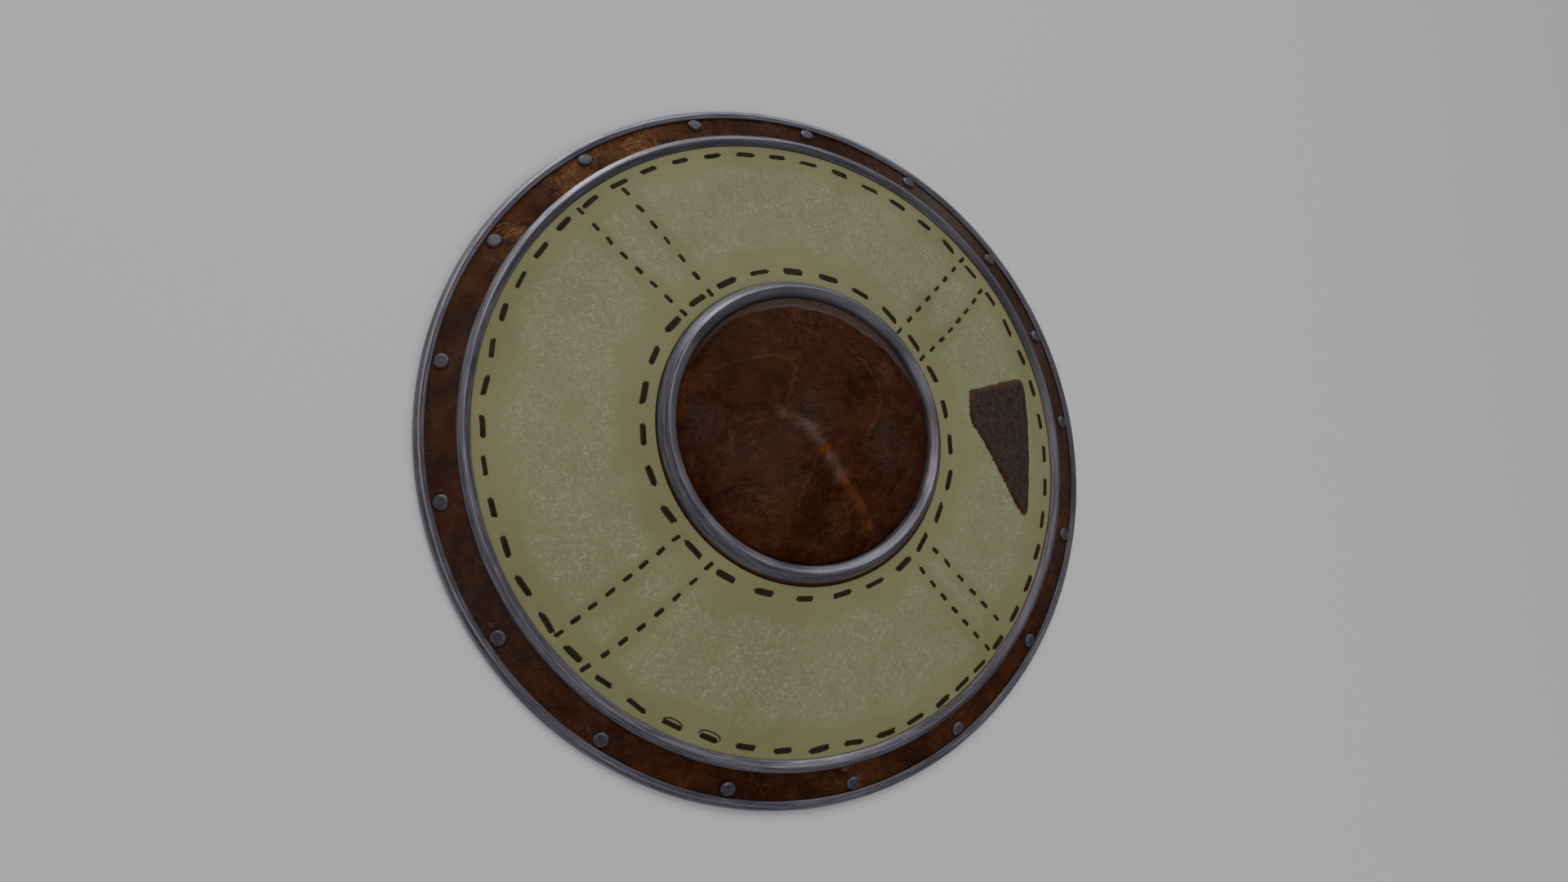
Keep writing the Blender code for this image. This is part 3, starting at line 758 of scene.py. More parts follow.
# the scar's course in plan, from its faint upper left end to its broad lower right one
SCAR = [(-0.0474, 0.0163), (-0.0312, 0.0048), (-0.0113, -0.0062), (-0.0021, -0.0212),
        (0.0077, -0.0356), (0.0215, -0.0560), (0.0330, -0.0700), (0.0415, -0.0840)]
VEINS = [[(-0.0215, 0.0560), (-0.0190, 0.0420), (-0.0240, 0.0270), (-0.0300, 0.0160)],
         [(0.0560, 0.0330), (0.0560, 0.0180), (0.0490, 0.0020), (0.0380, -0.0120)],
         [(-0.0700, -0.0760), (-0.0600, -0.0695), (-0.0470, -0.0675), (-0.0380, -0.0705)],
         [(0.0330, 0.0620), (0.0460, 0.0500), (0.0560, 0.0330)],
         [(-0.0081, -0.0324), (-0.0159, -0.0462), (-0.0241, -0.0643)],
         [(-0.0826, 0.0441), (-0.0587, 0.0507), (-0.0357, 0.0542), (-0.0235, 0.0500)],
         [(-0.0630, -0.0496), (-0.0530, -0.0582), (-0.0306, -0.0673)]]
# round marks as middle in plan, reach and strength: amber stains where the dye ran thin, grey patches of
# painted sheen
AMBER = [((-0.107, 0.034), 0.018, 0.85), ((-0.109, 0.014), 0.014, 0.7), ((0.066, 0.044), 0.016, 0.5),
         ((-0.050, -0.072), 0.040, 0.35)]
HAZE = [((-0.006, 0.008), 0.030, 0.4), ((-0.098, 0.004), 0.024, 0.45), ((0.060, -0.020), 0.034, 0.4),
        ((-0.055, -0.030), 0.060, 0.3), ((0.066, 0.044), 0.014, 0.35)]


def dome_height(radius, inset=0.0):
    """Height of the boss: the top of an ellipse that is a little wider than the boss itself."""
    across = BOSS_RADIUS * BOSS_FULLNESS
    low = math.sqrt(1 - 1 / BOSS_FULLNESS ** 2)
    rise = BOSS_RISE / (1 - low)
    ellipse = np.sqrt(np.clip(1 - (radius / (across - inset)) ** 2, 0, 1))
    return over_hide(BOSS_RADIUS, BOSS_THICKNESS) - rise * low + (rise - inset) * ellipse


def line_distance(x, y, line):
    """Distance of each point from a broken line in plan, and how far along the line it lies."""
    line = np.array(line)
    best, where = np.full_like(x, 9.0), np.zeros_like(x)
    lengths = np.hypot(*np.diff(line, axis=0).T)
    start = np.concatenate([[0], np.cumsum(lengths)])
    for k, (a, b) in enumerate(zip(line, line[1:])):
        step = (b - a) / lengths[k]
        share = np.clip((x - a[0]) * step[0] + (y - a[1]) * step[1], 0, lengths[k])
        away = np.hypot(x - a[0] - share * step[0], y - a[1] - share * step[1])
        where = np.where(away < best, (start[k] + share) / start[-1], where)
        best = np.minimum(away, best)
    return best, where


def stained(x, y, stains):
    """Strength of some round stains with soft edges, summed."""
    return sum(strength * smooth(-np.hypot(x - middle[0], y - middle[1]), -reach, -0.3 * reach)
               for middle, reach, strength in stains)


def boss_leather():
    """Dark red-brown moulded hide: brushed-on dye, a scar, veins, stains by its edge, painted sheen and
    highlights.
    """
    made, tree = new_material("boss_leather", 0.66, 0.03)
    place = own_place(tree)
    marks = leather_marks(tree, place)
    mottle, strokes = marks["Mottle"], marks["Strokes"]
    plum = noise(tree, place, 36.0, 6.0, 0.70, 0.8)
    red = noise(tree, place, 64.0, 6.0, 0.74, 0.6)
    broken = ramp(tree, strokes, 0.38, 0.62, 0.25, 1.0)
    torn = ramp(tree, noise(tree, place, 90.0, 4.0, 0.65, 1.2), 0.34, 0.60, 0.30, 1.0)
    smeared = ramp(tree, strokes, 0.34, 0.60, 0.55, 1.0)
    scarred = coats(tree, (0.118, 0.078, 0.060), (read(tree, "scar_end"), (0.138, 0.043, 0.013)))
    colour = coats(
        tree, (0.0235, 0.0073, 0.0036),
        (ramp(tree, mottle, 0.36, 0.64), (0.0550, 0.0170, 0.0080)),
        (ramp(tree, strokes, 0.46, 0.70, 0.0, 0.5), (0.066, 0.021, 0.009)),
        (times(tree, marks["Warm"], 0.40), (0.086, 0.030, 0.011)),
        (ramp(tree, plum, 0.50, 0.66, 0.0, 0.60), (0.030, 0.0115, 0.0095)),
        (ramp(tree, red, 0.52, 0.66, 0.0, 0.50), (0.090, 0.027, 0.014)),
        (times(tree, marks["Veins"], 0.35), (0.120, 0.060, 0.036)),
        # amber stains where the dye ran thin, and the flange painted lighter as light where the ring shades
        # it
        (times(tree, read(tree, "amber"), broken), (0.105, 0.038, 0.012)),
        # painted sheen: grey patches over the dome
        (times(tree, read(tree, "haze"), broken), (0.064, 0.043, 0.038)),
        (times(tree, read(tree, "vein"), broken), (0.096, 0.048, 0.030)),
        (times(tree, read(tree, "scar"), torn), scarred),
        # painted sheen on the far shoulder, and painted highlight lines at its inner border and by the ring
        (times(tree, read(tree, "shoulder"), smeared), (0.088, 0.064, 0.058)),
        (read(tree, "shoulder_line"), (0.135, 0.115, 0.108)))
    return finished(made, flesh_side(tree, marks, colour), marks["Grain"], 0.0004,
                    ramp(tree, mottle, 0.3, 0.7, 0.60, 0.72))


dome = np.concatenate([[0.0], np.linspace(0.0016, 0.100, 62), rounded(0.100, BOSS_RADIUS, 14)[1:]])
flange = np.linspace(BOSS_RADIUS + 0.0012, FLANGE_RADIUS - 0.0004, 8)
lip = np.array([FLANGE_RADIUS, FLANGE_RADIUS - 0.0003])
beneath = np.array([0.1180, 0.1100])
inside = np.linspace(0.1065, 0.0, 24)
radius = np.concatenate([dome, flange, lip, beneath, inside])
height = np.concatenate([dome_height(dome), over_hide(flange, BOSS_THICKNESS),
                         [over_hide(lip[0], BOSS_THICKNESS) - 0.0006, hide_height(lip[1]) + GAP],
                         hide_height(beneath) + GAP, dome_height(inside, BOSS_THICKNESS)])
points = carried_round(radius, height, 440)
points[..., :2] += smooth(radius, 0.1200, 0.1250)[None, :, None] * FLANGE_SHIFT
x, y = points[..., 0], points[..., 1]
turn, distance = polar(x, y)
station = np.arange(len(radius))
dome_face = station < len(dome)
above = dome_face * smooth(-distance, -0.108, -0.098)
scar, along = line_distance(x, y, SCAR)
broad = 0.0018 + 0.0020 * np.sin(math.pi * np.clip(along * 1.15, 0, 1)) + 0.0012 * along
broad = broad * (1 + 0.20 * np.sin(61 * along) + 0.15 * np.sin(137 * along + 1))
points[..., 2] += above * (0.00035 * unevenness(turn, distance, 41, 10) * smooth(distance, 0.0, 0.03)
                           + 0.00045 * bell(scar, broad) - 0.00035 * bell(scar - 1.9 * broad, broad))
wavy = x + 0.0008 * np.sin(700 * y), y + 0.0008 * np.sin(800 * x)
veins = sum(bell(line_distance(*wavy, line)[0], 0.0011) for line in VEINS)
# the painted sheen on the far shoulder, a grazing reflection painted as a pale band: how far in from the
# edge it reaches at each angle
degrees = np.degrees(turn) % 360
reach = course(turn, [12, 30, 50, 70, 100, 125, 160], [0, 0.0085, 0.0140, 0.0135, 0.0095, 0.0050, 0])
reach = reach * (1 + 0.08 * np.sin(degrees / 4.1) + 0.05 * np.sin(degrees / 1.7))
border = BOSS_RADIUS - reach - distance
lined = smooth(degrees, 18, 32) * smooth(-degrees, -128, -95)
shown_flange = (distance > BOSS_RADIUS + 0.0005) * (station <= len(dome) + len(flange))
mesh = skin("boss_dome", points, closed_across=False)
mark(mesh, vein=0.65 * above * veins.clip(0, 1),
     scar=(above * bell(scar, 1.25 * broad) * smooth(along, -0.02, 0.16)
           * (0.55 + 0.45 * np.sin(17 * along) ** 2)),
     scar_end=(smooth(along, 0.58, 0.72) + smooth(-np.abs(along - 0.46), -0.05, -0.02)).clip(0, 1),
     # painted sheen on the far shoulder, and thin painted highlight lines at its inner border and by the
     # ring
     shoulder=0.8 * dome_face * (reach > 0.0006) * smooth(-border, -0.0014, 0.0014),
     shoulder_line=dome_face * lined * (0.55 * bell(border, 0.0009) + 0.7 * bell(distance - 0.1098, 0.0008)),
     # amber stains, and the flange painted lighter as light where the ring shades it
     amber=dome_face * stained(x, y, AMBER) + 0.9 * shown_flange,
     # painted sheen: grey patches over the dome
     haze=above * stained(x, y, HAZE),
     flesh=(station >= len(radius) - len(inside)) + 0 * distance)
piece("boss_dome", merged(mesh), boss_leather(), "brown_leather", "leather_boss")


# Iron rings and edging: bar drawn to a low ridged section and bent into hoops, and a strip
# folded over the edge of the hide. It is dull lavender-grey wrought iron, with light and dark
# streaks along it from the drawing, small dents, bright lines on ridges and edges that are
# rubbed iron and painted highlight both, and painted shade that dims it, mostly on the right.
STREAK_STRETCH = 26.0        # how much longer than wide the streaks are
# where each ring's feet stand, its crest as radius and height, and the heights of its inner and
# outer shoulders; the field ring's outer foot stands at RING_FOOT
FIELD_RING_INNER = 0.2603
FIELD_RING_CREST = (0.2656, 0.0260)
FIELD_RING_SHOULDERS = (0.0226, 0.0223)
BOSS_RING_INNER = 0.1112
BOSS_RING_OUTER = 0.1252
BOSS_RING_CREST = (0.1181, 0.0609)
BOSS_RING_SHOULDERS = (0.0564, 0.0520)
EDGING_LIP = 0.2923          # inner edge of the lip on the hide, and of the foot
EDGING_ROUND = 0.2960        # middle of the rounded outside
EDGING_HALF_WIDTH = 0.0040
EDGING_HALF_HEIGHT = 0.0055
EDGING_SLOT = 0.2980         # how far out the slot for the hide reaches
EDGING_SLOT_FLOOR = 0.0018
EDGING_SLOT_TOP = 0.0084
EDGING_FOLDS = (0.2944, 0.2978)   # the two low folds of the lip


def drawn_iron():
    """Dull drawn iron: lengthwise streaks of dark and pale grey, bright lines of rub and painted highlight,
    and painted shade.
    """
    made, tree = new_material("drawn_iron", 0.50, 0.4, metallic=0.6)
    drawn = read(tree, "drawn", "Vector")
    dull = read(tree, "dull")
    wide = noise(tree, drawn, 330.0, 2.0, 0.5, 0.3)
    fine = noise(tree, drawn, 1150.0, 3.0, 0.6, 0.1)
    blotch = noise(tree, own_place(tree), 30.0, 4.0, 0.6, 0.5)
    colour = coats(
        tree, (0.090, 0.083, 0.103),
        (ramp(tree, wide, 0.38, 0.62), (0.190, 0.178, 0.212)),
        (ramp(tree, fine, 0.50, 0.62, 0.0, 0.6), (0.250, 0.240, 0.278)),
        (ramp(tree, fine, 0.48, 0.36, 0.0, 0.6), (0.055, 0.051, 0.064)),
        (ramp(tree, blotch, 0.50, 0.70, 0.0, 0.5), (0.120, 0.103, 0.108)),
        # bright lines that are rubbed iron and painted highlight both
        (read(tree, "rub"), (0.44, 0.43, 0.48)),
        # painted shade: darker iron where the gleams are dimmed, and the studs' own darker iron
        (dull, (0.052, 0.049, 0.058)))
    return finished(made, colour, plus(tree, wide, times(tree, fine, 0.4), blotch), 0.00018,
                    plus(tree, ramp(tree, wide, 0.3, 0.7, 0.54, 0.42), times(tree, dull, 0.2)))


def hoop(name, node, radius, height, turns, seed, wobble, rubbed, tarnish, wiped=0.0):
    """A hoop of iron: its outline carried round, and swollen or pinched a little all the way.

    The painted shade, darker iron that dims its gleams, is given as angles in degrees against
    strengths, and the last argument is the share of it left off the face towards the middle. The
    streaks read a place in the metal's own drawn-out space: the way round, shortened by
    STREAK_STRETCH, and the way along the outline.
    """
    points = carried_round(radius, height, turns)
    turn, distance = polar(points[..., 0], points[..., 1])
    along = np.cumsum(np.hypot(np.diff(radius, append=radius[0]), np.diff(height, append=height[0])))
    middle, level = radius.mean(), height.mean()
    half = np.hypot(radius - middle, height - level).max()
    swell = 1 + wobble / half * unevenness(turn, along * 6, seed, 40)
    rounder = middle + (distance - middle) * swell
    points[..., 0], points[..., 1] = np.cos(turn) * rounder, np.sin(turn) * rounder
    points[..., 2] += np.clip(points[..., 2] - level, 0, None) * (swell - 1)
    mesh = skin(name, points, sharp=50)
    reach = middle / STREAK_STRETCH
    inner_face = smooth(-rounder, -middle, 0.0012 - middle)
    # painted shade: the iron painted darker by angle, mostly on the right, to dim its gleams, and its inner
    # face darker at the upper left
    tarnished = course(turn, *tarnish) * (1 - wiped * inner_face)
    shaded = 0.5 * inner_face * towards(turn, 120, 3)
    mark(mesh, drawn=np.stack([reach * np.cos(turn), reach * np.sin(turn), along + 0 * turn], -1),
         # bright lines: rubbed iron and painted highlight both
         rub=rubbed * np.clip(0.65 + 0.5 * unevenness(turn, along, seed + 1, 18), 0, 1),
         dull=(tarnished * (0.8 + 0.4 * unevenness(turn, along, seed + 2, 12)).clip(0, 1)
               + (1 - tarnished) * shaded))
    piece(name, mesh, iron, "dull_iron", node)


def ridged_bar(inner, outer, crest, shoulders, count):
    """Upper side of a hoop between its two feet, and how far each point lies from the crest.

    An upright wall rises from each foot to a shoulder, and a slightly bulging slope from there to
    the worn ridge of the crest. s runs from 0 at the crest to 1 at a shoulder; the slope stands
    (1 - s)(1 + s / 4) of the crest's height over the shoulder.
    """
    share = np.append(rounded(0.0, 1.0, count), (crest[0] - inner[0]) / (outer[0] - inner[0]))
    radius = inner[0] + (outer[0] - inner[0]) * np.sort(share)
    side = (radius > crest[0]).astype(int)
    foot, shoulder = np.array([inner[1], outer[1]])[side], np.array(shoulders)[side]
    away = np.abs(radius - crest[0]) / np.abs(np.array([inner[0], outer[0]])[side] - crest[0])
    s = np.sqrt(away ** 2 + 0.0012) - 0.0346 * (1 - away)
    height = (foot + (shoulder - foot) * (1 - away ** 18)
              + (crest[1] - shoulder) * (1 - s).clip(0) * (1 + s / 4))
    return radius, height, away


iron = drawn_iron()
radius, height, away = ridged_bar(
    (FIELD_RING_INNER, over_hide(FIELD_RING_INNER, FACING_THICKNESS) + GAP),
    (RING_FOOT, hide_height(RING_FOOT) + GAP), FIELD_RING_CREST, FIELD_RING_SHOULDERS, 36)
seat = [hide_height(SHELF_START) + GAP, over_hide(SHELF_START, FACING_THICKNESS) + GAP]
# bright lines on the crest and by the outer shoulder: rubbed iron and painted highlight both
rubbed = np.append(0.5 * bell(away, 0.07) + 0.4 * bell(away - 0.86, 0.06), [0, 0])
# the last table is painted shade by angle, darkest on the right
hoop("field_hoop", "field_ring", np.append(radius, [SHELF_START, SHELF_START]), np.append(height, seat),
     720, 51, 0.00022, rubbed, ([0, 60, 100, 140, 265, 300, 360], [0.8, 0.55, 0.2, 0.0, 0.1, 0.7, 0.8]))

radius, height, away = ridged_bar(
    (BOSS_RING_INNER, over_hide(BOSS_RING_INNER, BOSS_THICKNESS) + GAP),
    (BOSS_RING_OUTER, over_hide(BOSS_RING_OUTER, BOSS_THICKNESS) + GAP),
    BOSS_RING_CREST, BOSS_RING_SHOULDERS, 40)
# bright lines on the crest, by the outer shoulder and on the inner face near its foot: rubbed iron and
# painted highlight both
rubbed = (0.45 * bell(away, 0.045) + 0.3 * bell(away - 0.88, 0.05)
          + 0.3 * smooth(-radius, -0.1178, -0.1170))
# the last table is painted shade by angle, darkest on the right
hoop("boss_hoop", "boss_ring", radius, height, 480, 61, 0.00010, rubbed,
     ([0, 60, 120, 170, 240, 290, 330, 360], [0.8, 0.4, 0.35, 0.15, 0.0, 0.4, 0.9, 0.8]), wiped=0.6)

# the edging's outline: the lip on the hide, the rounded outside, the foot and the slot
t = np.linspace(math.pi / 2, -math.pi / 2, 19)
radius = np.concatenate([[EDGING_LIP], np.linspace(EDGING_LIP, EDGING_ROUND - 0.0002, 14),
                         EDGING_ROUND + EDGING_HALF_WIDTH * np.cos(t),
                         [0.2930, EDGING_LIP, EDGING_LIP, EDGING_SLOT, EDGING_SLOT]])
height = np.concatenate([[EDGING_SLOT_TOP], 0.0102 + 0.0008 * np.sin(np.linspace(0, math.pi / 2, 14)),
                         EDGING_HALF_HEIGHT * (1 + np.sin(t)),
                         [0.0, 0.0004, EDGING_SLOT_FLOOR, EDGING_SLOT_FLOOR, EDGING_SLOT_TOP]])
top_side = height > 0.0056
folds = sum(bell(radius - place, 0.00035) for place in EDGING_FOLDS)
# bright lines on the middle and the outer side of the rounded outside: rubbed iron and painted highlight
# both
rubbed = top_side * (0.6 * bell(radius - 0.2962, 0.0005) + 0.4 * (radius > 0.2990))
# the last table is painted shade by angle, darkest on the right
hoop("edging", "iron_rim", radius, height - 0.00035 * folds * top_side, 720, 71, 0.00014, rubbed,
     ([0, 60, 100, 140, 170, 230, 300, 360], [0.75, 0.5, 0.1, 0.1, 0.4, 0.35, 0.5, 0.75]))


# Studs: flat-headed iron rivets with a bevelled edge, hammered through the band and clenched
# over behind.
STUD_HEAD = 0.0060
STUD_SHANK = 0.0022
STUD_TAIL = 0.0042


def stud(name, node, head, depth, circle, turn, lean, seed):
    """A rivet turned about its own axis, with a slightly uneven head, then stood on the hide.

    Its outline runs from the middle of the flat top over the bevel and down the head, then
    along the shank to the clenched tail.
    """
    out = [0.0, 0.35 * head, 0.66 * head, head - 0.00150, head - 0.00115, head - 0.0005,
           head - 0.00005, head, head, head - 0.0003, STUD_SHANK, STUD_SHANK,
           STUD_TAIL, STUD_TAIL - 0.0001, STUD_TAIL - 0.0012, 0.0]
    up = [0.00305, 0.00304, 0.00302, 0.00298, 0.00284, 0.00228, 0.00176, 0.00150, 0.0003, 0.0, 0.0,
          -depth, -depth, -depth - 0.0008, -depth - 0.0014, -depth - 0.0015]
    points = carried_round(np.array(out), np.array(up), 40)
    angle, distance = polar(points[..., 0], points[..., 1])
    draw = np.random.default_rng(seed)
    dent = sum(size * np.sin(waves * angle + draw.uniform(0, 6))
               for waves, size in ((2, 0.00012), (3, 0.00008)))
    on_head = points[..., 2] > 0.001
    points[..., 2] += on_head * dent * distance / head
    swell = 1 + 0.016 * np.sin(3 * angle + draw.uniform(0, 6)) * (distance > 0.8 * head)
    points[..., :2] *= swell[..., None]
    own = points + draw.uniform(-1, 1, 3)
    seat = Vector((circle + GAP * math.sin(lean), 0, float(hide_height(circle)) + GAP * math.cos(lean)))
    place = Matrix.Rotation(turn, 4, "Z") @ Matrix.Translation(seat) @ Matrix.Rotation(lean, 4, "Y")
    mesh = skin(name, points @ np.array(place.to_3x3()).T + np.array(place.translation),
                closed_across=False, sharp=38)
    bevel = bell(distance - (head - 0.0008), 0.00045)
    # painted shade: the heads are darker iron, painted darker still towards the top where the key light
    # gleams on them, and lighter on the bevel with a bright line there as painted highlight
    mark(mesh, drawn=0.35 * own, rub=on_head * 0.25 * bevel,
         dull=on_head * (0.80 + 0.14 * np.cos(turn - 1.6) - 0.4 * bevel))
    piece(name, merged(mesh), iron, "dull_iron", node)


for count, turn in enumerate(stud_turns(), 1):
    stud(f"stud_{count:02d}", f"band_stud_{count:02d}", STUD_HEAD, HIDE_THICKNESS + 2 * GAP,
         STUD_CIRCLE, float(turn), BAND_LEAN, count)


# Patch: an offcut of dark rough leather laid over a tear in the facing, flesh side out. Its top
# and left edges are turned under as a narrow hem worn to a paler rust brown, its long slanting
# edge is frayed into a fine fringe.
PATCH_THICKNESS = 0.0022
PATCH_RIGHT = 0.2360
PATCH_WIDTH = 0.0712
PATCH_TOP = 0.0520
PATCH_HEIGHT = 0.1255
PATCH_SLANT = 0.0140
FRINGE_TEETH = 42            # for the whole height
FRINGE_DEPTH = 0.0036


def patch_suede():
    """Dark grey-brown suede with fine speckle and a paler rust-brown hem."""
    made, tree = new_material("patch_suede", 0.9, 0.12)
    place = own_place(tree)
    nap = noise(tree, place, 210.0, 5.0, 0.7, 0.6)
    speck = noise(tree, place, 170.0, 4.0, 0.65, 1.2)
    stains = noise(tree, place, 75.0, 4.0, 0.6, 0.6)
    dust = noise(tree, place, 300.0, 2.0, 0.6, 0.4)
    colour = coats(
        tree, (0.027, 0.019, 0.014),
        (ramp(tree, nap, 0.38, 0.62), (0.058, 0.039, 0.033)),
        (ramp(tree, stains, 0.45, 0.65, 0.0, 0.45), (0.037, 0.036, 0.031)),
        (ramp(tree, speck, 0.56, 0.70, 0.0, 0.5), (0.086, 0.048, 0.029)),
        (ramp(tree, dust, 0.60, 0.72, 0.0, 0.5), (0.064, 0.060, 0.062)),
        (times(tree, read(tree, "fringe"), 0.65), (0.066, 0.034, 0.022)),
        (times(tree, read(tree, "hem"), ramp(tree, nap, 0.30, 0.60, 0.45, 0.9)), (0.088, 0.044, 0.028)))
    return finished(made, colour, plus(tree, nap, speck), 0.0006)


# down runs from the top to the tip and across from the left edge to the right; the edges are
# given as shares of the width, measured from the patch's right side
down = np.linspace(0, 1, 700)[:, None]
across = rounded(0.0, 1.0, 40)[None]
left = np.interp(down, [0, 0.12, 0.23, 0.275, 0.30, 0.325, 0.41, 0.60, 0.80, 0.95, 1.0],
                 [0.965, 1.0, 1.0, 0.985, 0.955, 0.925, 0.825, 0.655, 0.48, 0.34, 0.27])
right = np.interp(down, [0.0, 0.01, 0.03, 0.06, 0.10, 0.32, 0.60, 0.90, 0.97, 1.0],
                  [0.07, 0.04, 0.015, 0.005, 0.0, 0.02, 0.08, 0.17, 0.20, 0.24])
frayed = smooth(down, 0.04, 0.14) * smooth(-down, -1.0, -0.97)
tooth = (down * FRINGE_TEETH + 0.8 * np.sin(29 * down)) % 1.0
depth = FRINGE_DEPTH * (0.75 + 0.25 * np.sin(71 * down))
fringed = left + frayed * depth / PATCH_WIDTH * (0.6 - tooth) + 0.006 * np.sin(31 * down) * (1 - frayed)
x = PATCH_RIGHT - PATCH_WIDTH * (fringed + (right - fringed) * across)
steps = 0.0009 * (smooth(across, 0.30, 0.36) + smooth(across, 0.56, 0.61)) - 0.0008 * across
bumps = (steps + 0.0002 * np.sin(23 * across)) * np.exp(-down / 0.05)
y = PATCH_TOP - PATCH_HEIGHT * down - ((1 - across) * PATCH_SLANT * (1 - down) - bumps)
turn, radius = polar(x, y)
bed = over_hide(radius, FACING_THICKNESS) + GAP
edge_width = (left - right) * PATCH_WIDTH
from_left, from_right, from_top, from_tip = np.broadcast_arrays(
    across * edge_width, (1 - across) * edge_width, down * PATCH_HEIGHT, (1 - down) * PATCH_HEIGHT)
inset = np.minimum.reduce([from_left, from_right, from_top, from_tip])
hem = smooth(-np.minimum(from_top, np.where(frayed < 0.5, from_left, 1.0)), -0.0048, -0.0020)
curl = 0.0004 * np.exp(-inset / 0.004) * (1 + unevenness(turn * 9, radius, 81, 9))
thick = PATCH_THICKNESS * (1 - 0.78 * np.exp(-(inset / 0.0022) ** 1.5)) + 0.0002 * hem
thick[:, [0, -1]] = 0.0
points = np.stack([np.stack([x, y, bed + thick + curl * (thick > 0)], -1), np.stack([x, y, bed], -1)])
number = np.arange(x.size).reshape(x.shape)
grid = np.stack([number[:-1, :-1], number[1:, :-1], number[1:, 1:], number[:-1, 1:]], -1).reshape(-1, 4)
ends = [np.stack([row[:-1], row[1:], row[1:] + x.size, row[:-1] + x.size], -1)
        for row in (number[0], number[-1])]
mesh = bpy.data.meshes.new("suede_patch")
mesh.from_pydata(points.reshape(-1, 3), [], np.concatenate([grid, grid[:, ::-1] + x.size, *ends]))
fringe = frayed * smooth(-from_left, -0.0062, -0.0025)
mark(mesh, hem=np.tile(hem * (1 - fringe), (2, 1)), fringe=np.tile(fringe, (2, 1)))
merged(mesh, face_out=True).shade_smooth()
mesh.set_sharp_from_angle(angle=math.radians(55))
piece("suede_patch", mesh, patch_suede(), "patch_leather", "leather_patch")


# Grip: an ash bar across the hand hole, rounded for the fingers in its middle and thinned to
# flat ends that lie against the back of the hide, each held by one clenched rivet.
GRIP_HALF_WIDTH = 0.0130
GRIP_END = 0.1089
GRIP_END_ROUND = 0.0030      # radius of the grip's rounded ends
GRIP_END_THICKNESS = 0.0090
GRIP_MIDDLE_THICKNESS = 0.0160
WRAP_HALF = 0.0540
WRAP_THICKNESS = 0.0018


def grip_top(x):
    """Height of the grip's upper face under the hide, clear of it over the grip's whole width."""
    return over_hide(np.hypot(np.clip(np.abs(x), HAND_HOLE, None), GRIP_HALF_WIDTH), -HIDE_THICKNESS, -GAP)


def bar_round(x, top, bottom, half, corner):
    """Grid of a bar along x whose section is a rectangle with rounded corners.

    The section is four quarter circles joined by flats; it goes round 24 points from the right.
    """
    quarter = np.repeat([0, 1, 2, 3], 6)
    turn = quarter * math.pi / 2 + np.tile(np.linspace(0, math.pi / 2, 6), 4)
    right, high = np.isin(quarter, (0, 3))[:, None], np.isin(quarter, (0, 1))[:, None]
    y = np.where(right, half - corner, corner - half) + corner * np.cos(turn)[:, None]
    z = np.where(high, top - corner, bottom + corner) + corner * np.sin(turn)[:, None]
    return np.stack(np.broadcast_arrays(x, y, z), -1)


def ash_wood():
    """Ash oiled and darkened by the hand, with long grain lines and open pores."""
    made, tree = new_material("ash_wood", 0.55, 0.3)
    place = own_place(tree)
    bands = noise(tree, stretched(tree, place, (0.05, 1.0, 1.0)), 330.0, 3.0, 0.6, 0.4)
    pores = noise(tree, stretched(tree, place, (0.06, 1.0, 1.0)), 1500.0, 3.0, 0.7)
    dirt = noise(tree, place, 45.0, 4.0, 0.6, 0.5)
    colour = coats(
        tree, (0.100, 0.052, 0.024),
        (ramp(tree, bands, 0.35, 0.65), (0.220, 0.135, 0.070)),
        (ramp(tree, pores, 0.55, 0.70, 0.0, 0.7), (0.050, 0.025, 0.012)),
        (ramp(tree, dirt, 0.45, 0.70, 0.0, 0.5), (0.060, 0.034, 0.019)))
    return finished(made, colour, plus(tree, bands, pores), 0.00025)


right_half = np.concatenate([[0.0], np.linspace(WRAP_HALF + WRAP_THICKNESS, HAND_HOLE, 14),
                             np.linspace(HAND_HOLE, GRIP_END - GRIP_END_ROUND, 8)[1:],
                             GRIP_END - GRIP_END_ROUND * np.array([0.6, 0.29, 0.08, 0.0])])
x = np.concatenate([-right_half[:0:-1], right_half])
reach = np.abs(x)
changes = [0, WRAP_HALF + WRAP_THICKNESS, HAND_HOLE, GRIP_END]
thick = np.interp(reach, changes, [GRIP_MIDDLE_THICKNESS] * 2 + [GRIP_END_THICKNESS] * 2)
corner = np.interp(reach, changes, [0.0060, 0.0060, 0.0025, 0.0025])
past = np.clip((reach - GRIP_END + GRIP_END_ROUND) / GRIP_END_ROUND, 0, 1)
inset = GRIP_END_ROUND * (1 - np.sqrt(1 - past ** 2))
shave = np.abs(0.0004 * np.sin(reach * 210) * smooth(reach, 0.058, 0.066))
points = bar_round(x, grip_top(x) - inset / 2, grip_top(x) - thick + inset / 2 + 0.5 * shave,
                   GRIP_HALF_WIDTH - inset - shave, np.minimum(corner, 0.9 * (thick / 2 - inset / 2)))
tips = [np.broadcast_to(points[:, k].mean(axis=0), points[:, k].shape)[:, None] for k in (0, -1)]
points = np.concatenate([tips[0], points, tips[1]], axis=1)
mesh = merged(skin("grip_bar", points, closed_across=False, sharp=50), face_out=True)
piece("grip_bar", mesh, ash_wood(), "grip_wood", "wooden_grip")


# Grip wrap: a strip of brown leather wound round the middle of the grip in overlapping turns
# and glued, darker along the edges of its turns.
STRIP_PITCH = 0.0122
WRAP_CORNER = 0.0063


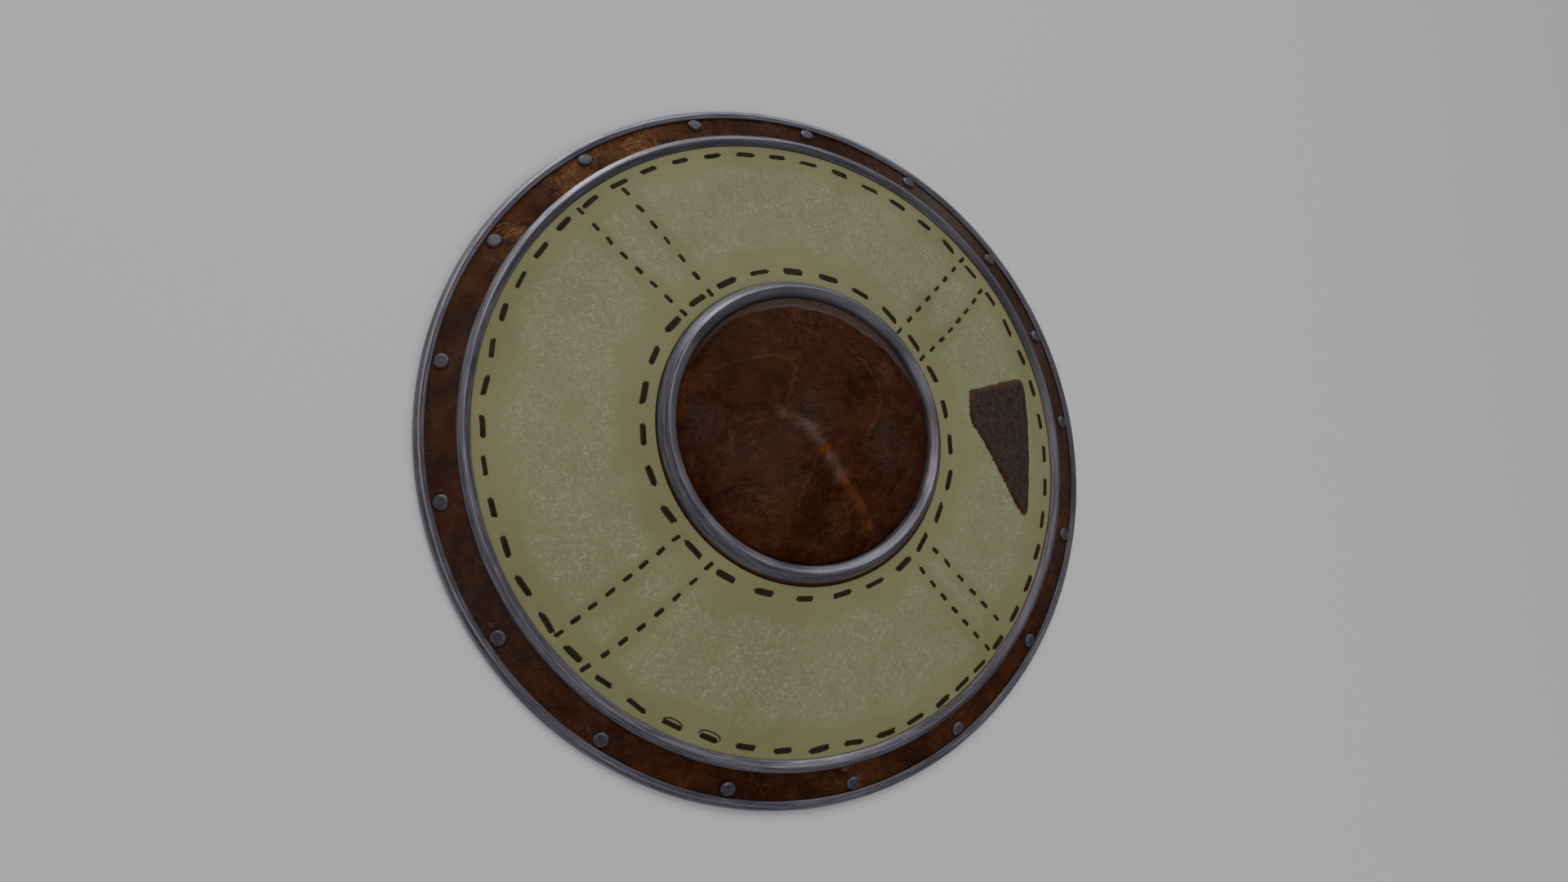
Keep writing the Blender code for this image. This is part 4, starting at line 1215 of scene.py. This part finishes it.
def wrap_leather():
    """Brown leather strip, dark at the laps."""
    made, tree = new_material("wrap_leather", 0.5, 0.3)
    marks = leather_marks(tree, own_place(tree))
    colour = coats(
        tree, (0.022, 0.009, 0.004),
        (ramp(tree, marks["Mottle"], 0.38, 0.64), (0.070, 0.027, 0.011)),
        (ramp(tree, marks["Strokes"], 0.48, 0.70, 0.0, 0.5), (0.090, 0.038, 0.017)),
        (times(tree, read(tree, "lap"), 0.85), (0.008, 0.004, 0.002)))
    return finished(made, colour, marks["Grain"], 0.0005)


# lap runs from 0 to 1 across each turn of the strip, which swells over its middle and leans on
# the turn before; it stands off the bar along the bar's own outward direction
x = np.linspace(-WRAP_HALF, WRAP_HALF, 220)
crown = float(grip_top(0.0))
inner = bar_round(x, crown + GAP, crown - GRIP_MIDDLE_THICKNESS - GAP, GRIP_HALF_WIDTH + GAP, WRAP_CORNER)
lap = (x / STRIP_PITCH + np.linspace(0, 1, 24, endpoint=False)[:, None]) % 1.0
arch = np.sin(math.pi * np.clip(0.12 + 0.76 * lap, 0, 1)) ** 0.5
swell = WRAP_THICKNESS * (0.50 + 0.46 * arch * (0.55 + 0.45 * lap))
swell = swell * smooth(WRAP_HALF - np.abs(x), -0.0004, 0.0010).clip(0.3, 1)
outward = inner * [0, 1, 1] - [0, 0, crown - 0.008]
corner_only = np.sign(outward) * np.clip(np.abs(outward) - [0, GRIP_HALF_WIDTH - 0.006, 0.002], 0, None)
normal = corner_only / np.linalg.norm(corner_only, axis=-1, keepdims=True)
points = np.concatenate([inner + normal * swell[..., None], inner[:, ::-1]], axis=1)
mesh = skin("strip_wrap", points, sharp=60)
edge = bell(lap - 1.0, 0.07) + bell(lap, 0.10)
mark(mesh, lap=np.concatenate([edge.clip(0, 1), 0 * edge], axis=1))
piece("strip_wrap", mesh, wrap_leather(), "brown_leather", "grip_wrap")


# Grip rivets: two of the iron studs, but smaller, driven through the hide and the flat ends of
# the grip and clenched behind it. The boss hides their heads.
GRIP_RIVET_CIRCLE = 0.0979
GRIP_RIVET_HEAD = 0.0050

hide_to_grip = hide_height(GRIP_RIVET_CIRCLE) - float(grip_top(GRIP_RIVET_CIRCLE)) + GRIP_END_THICKNESS
for count, turn in ((1, 0.0), (2, math.pi)):
    stud(f"grip_stud_{count}", f"grip_rivet_{count}", GRIP_RIVET_HEAD,
         hide_to_grip * math.cos(BOSS_LEAN) + 2 * GAP, GRIP_RIVET_CIRCLE, turn, BOSS_LEAN, 30 + count)
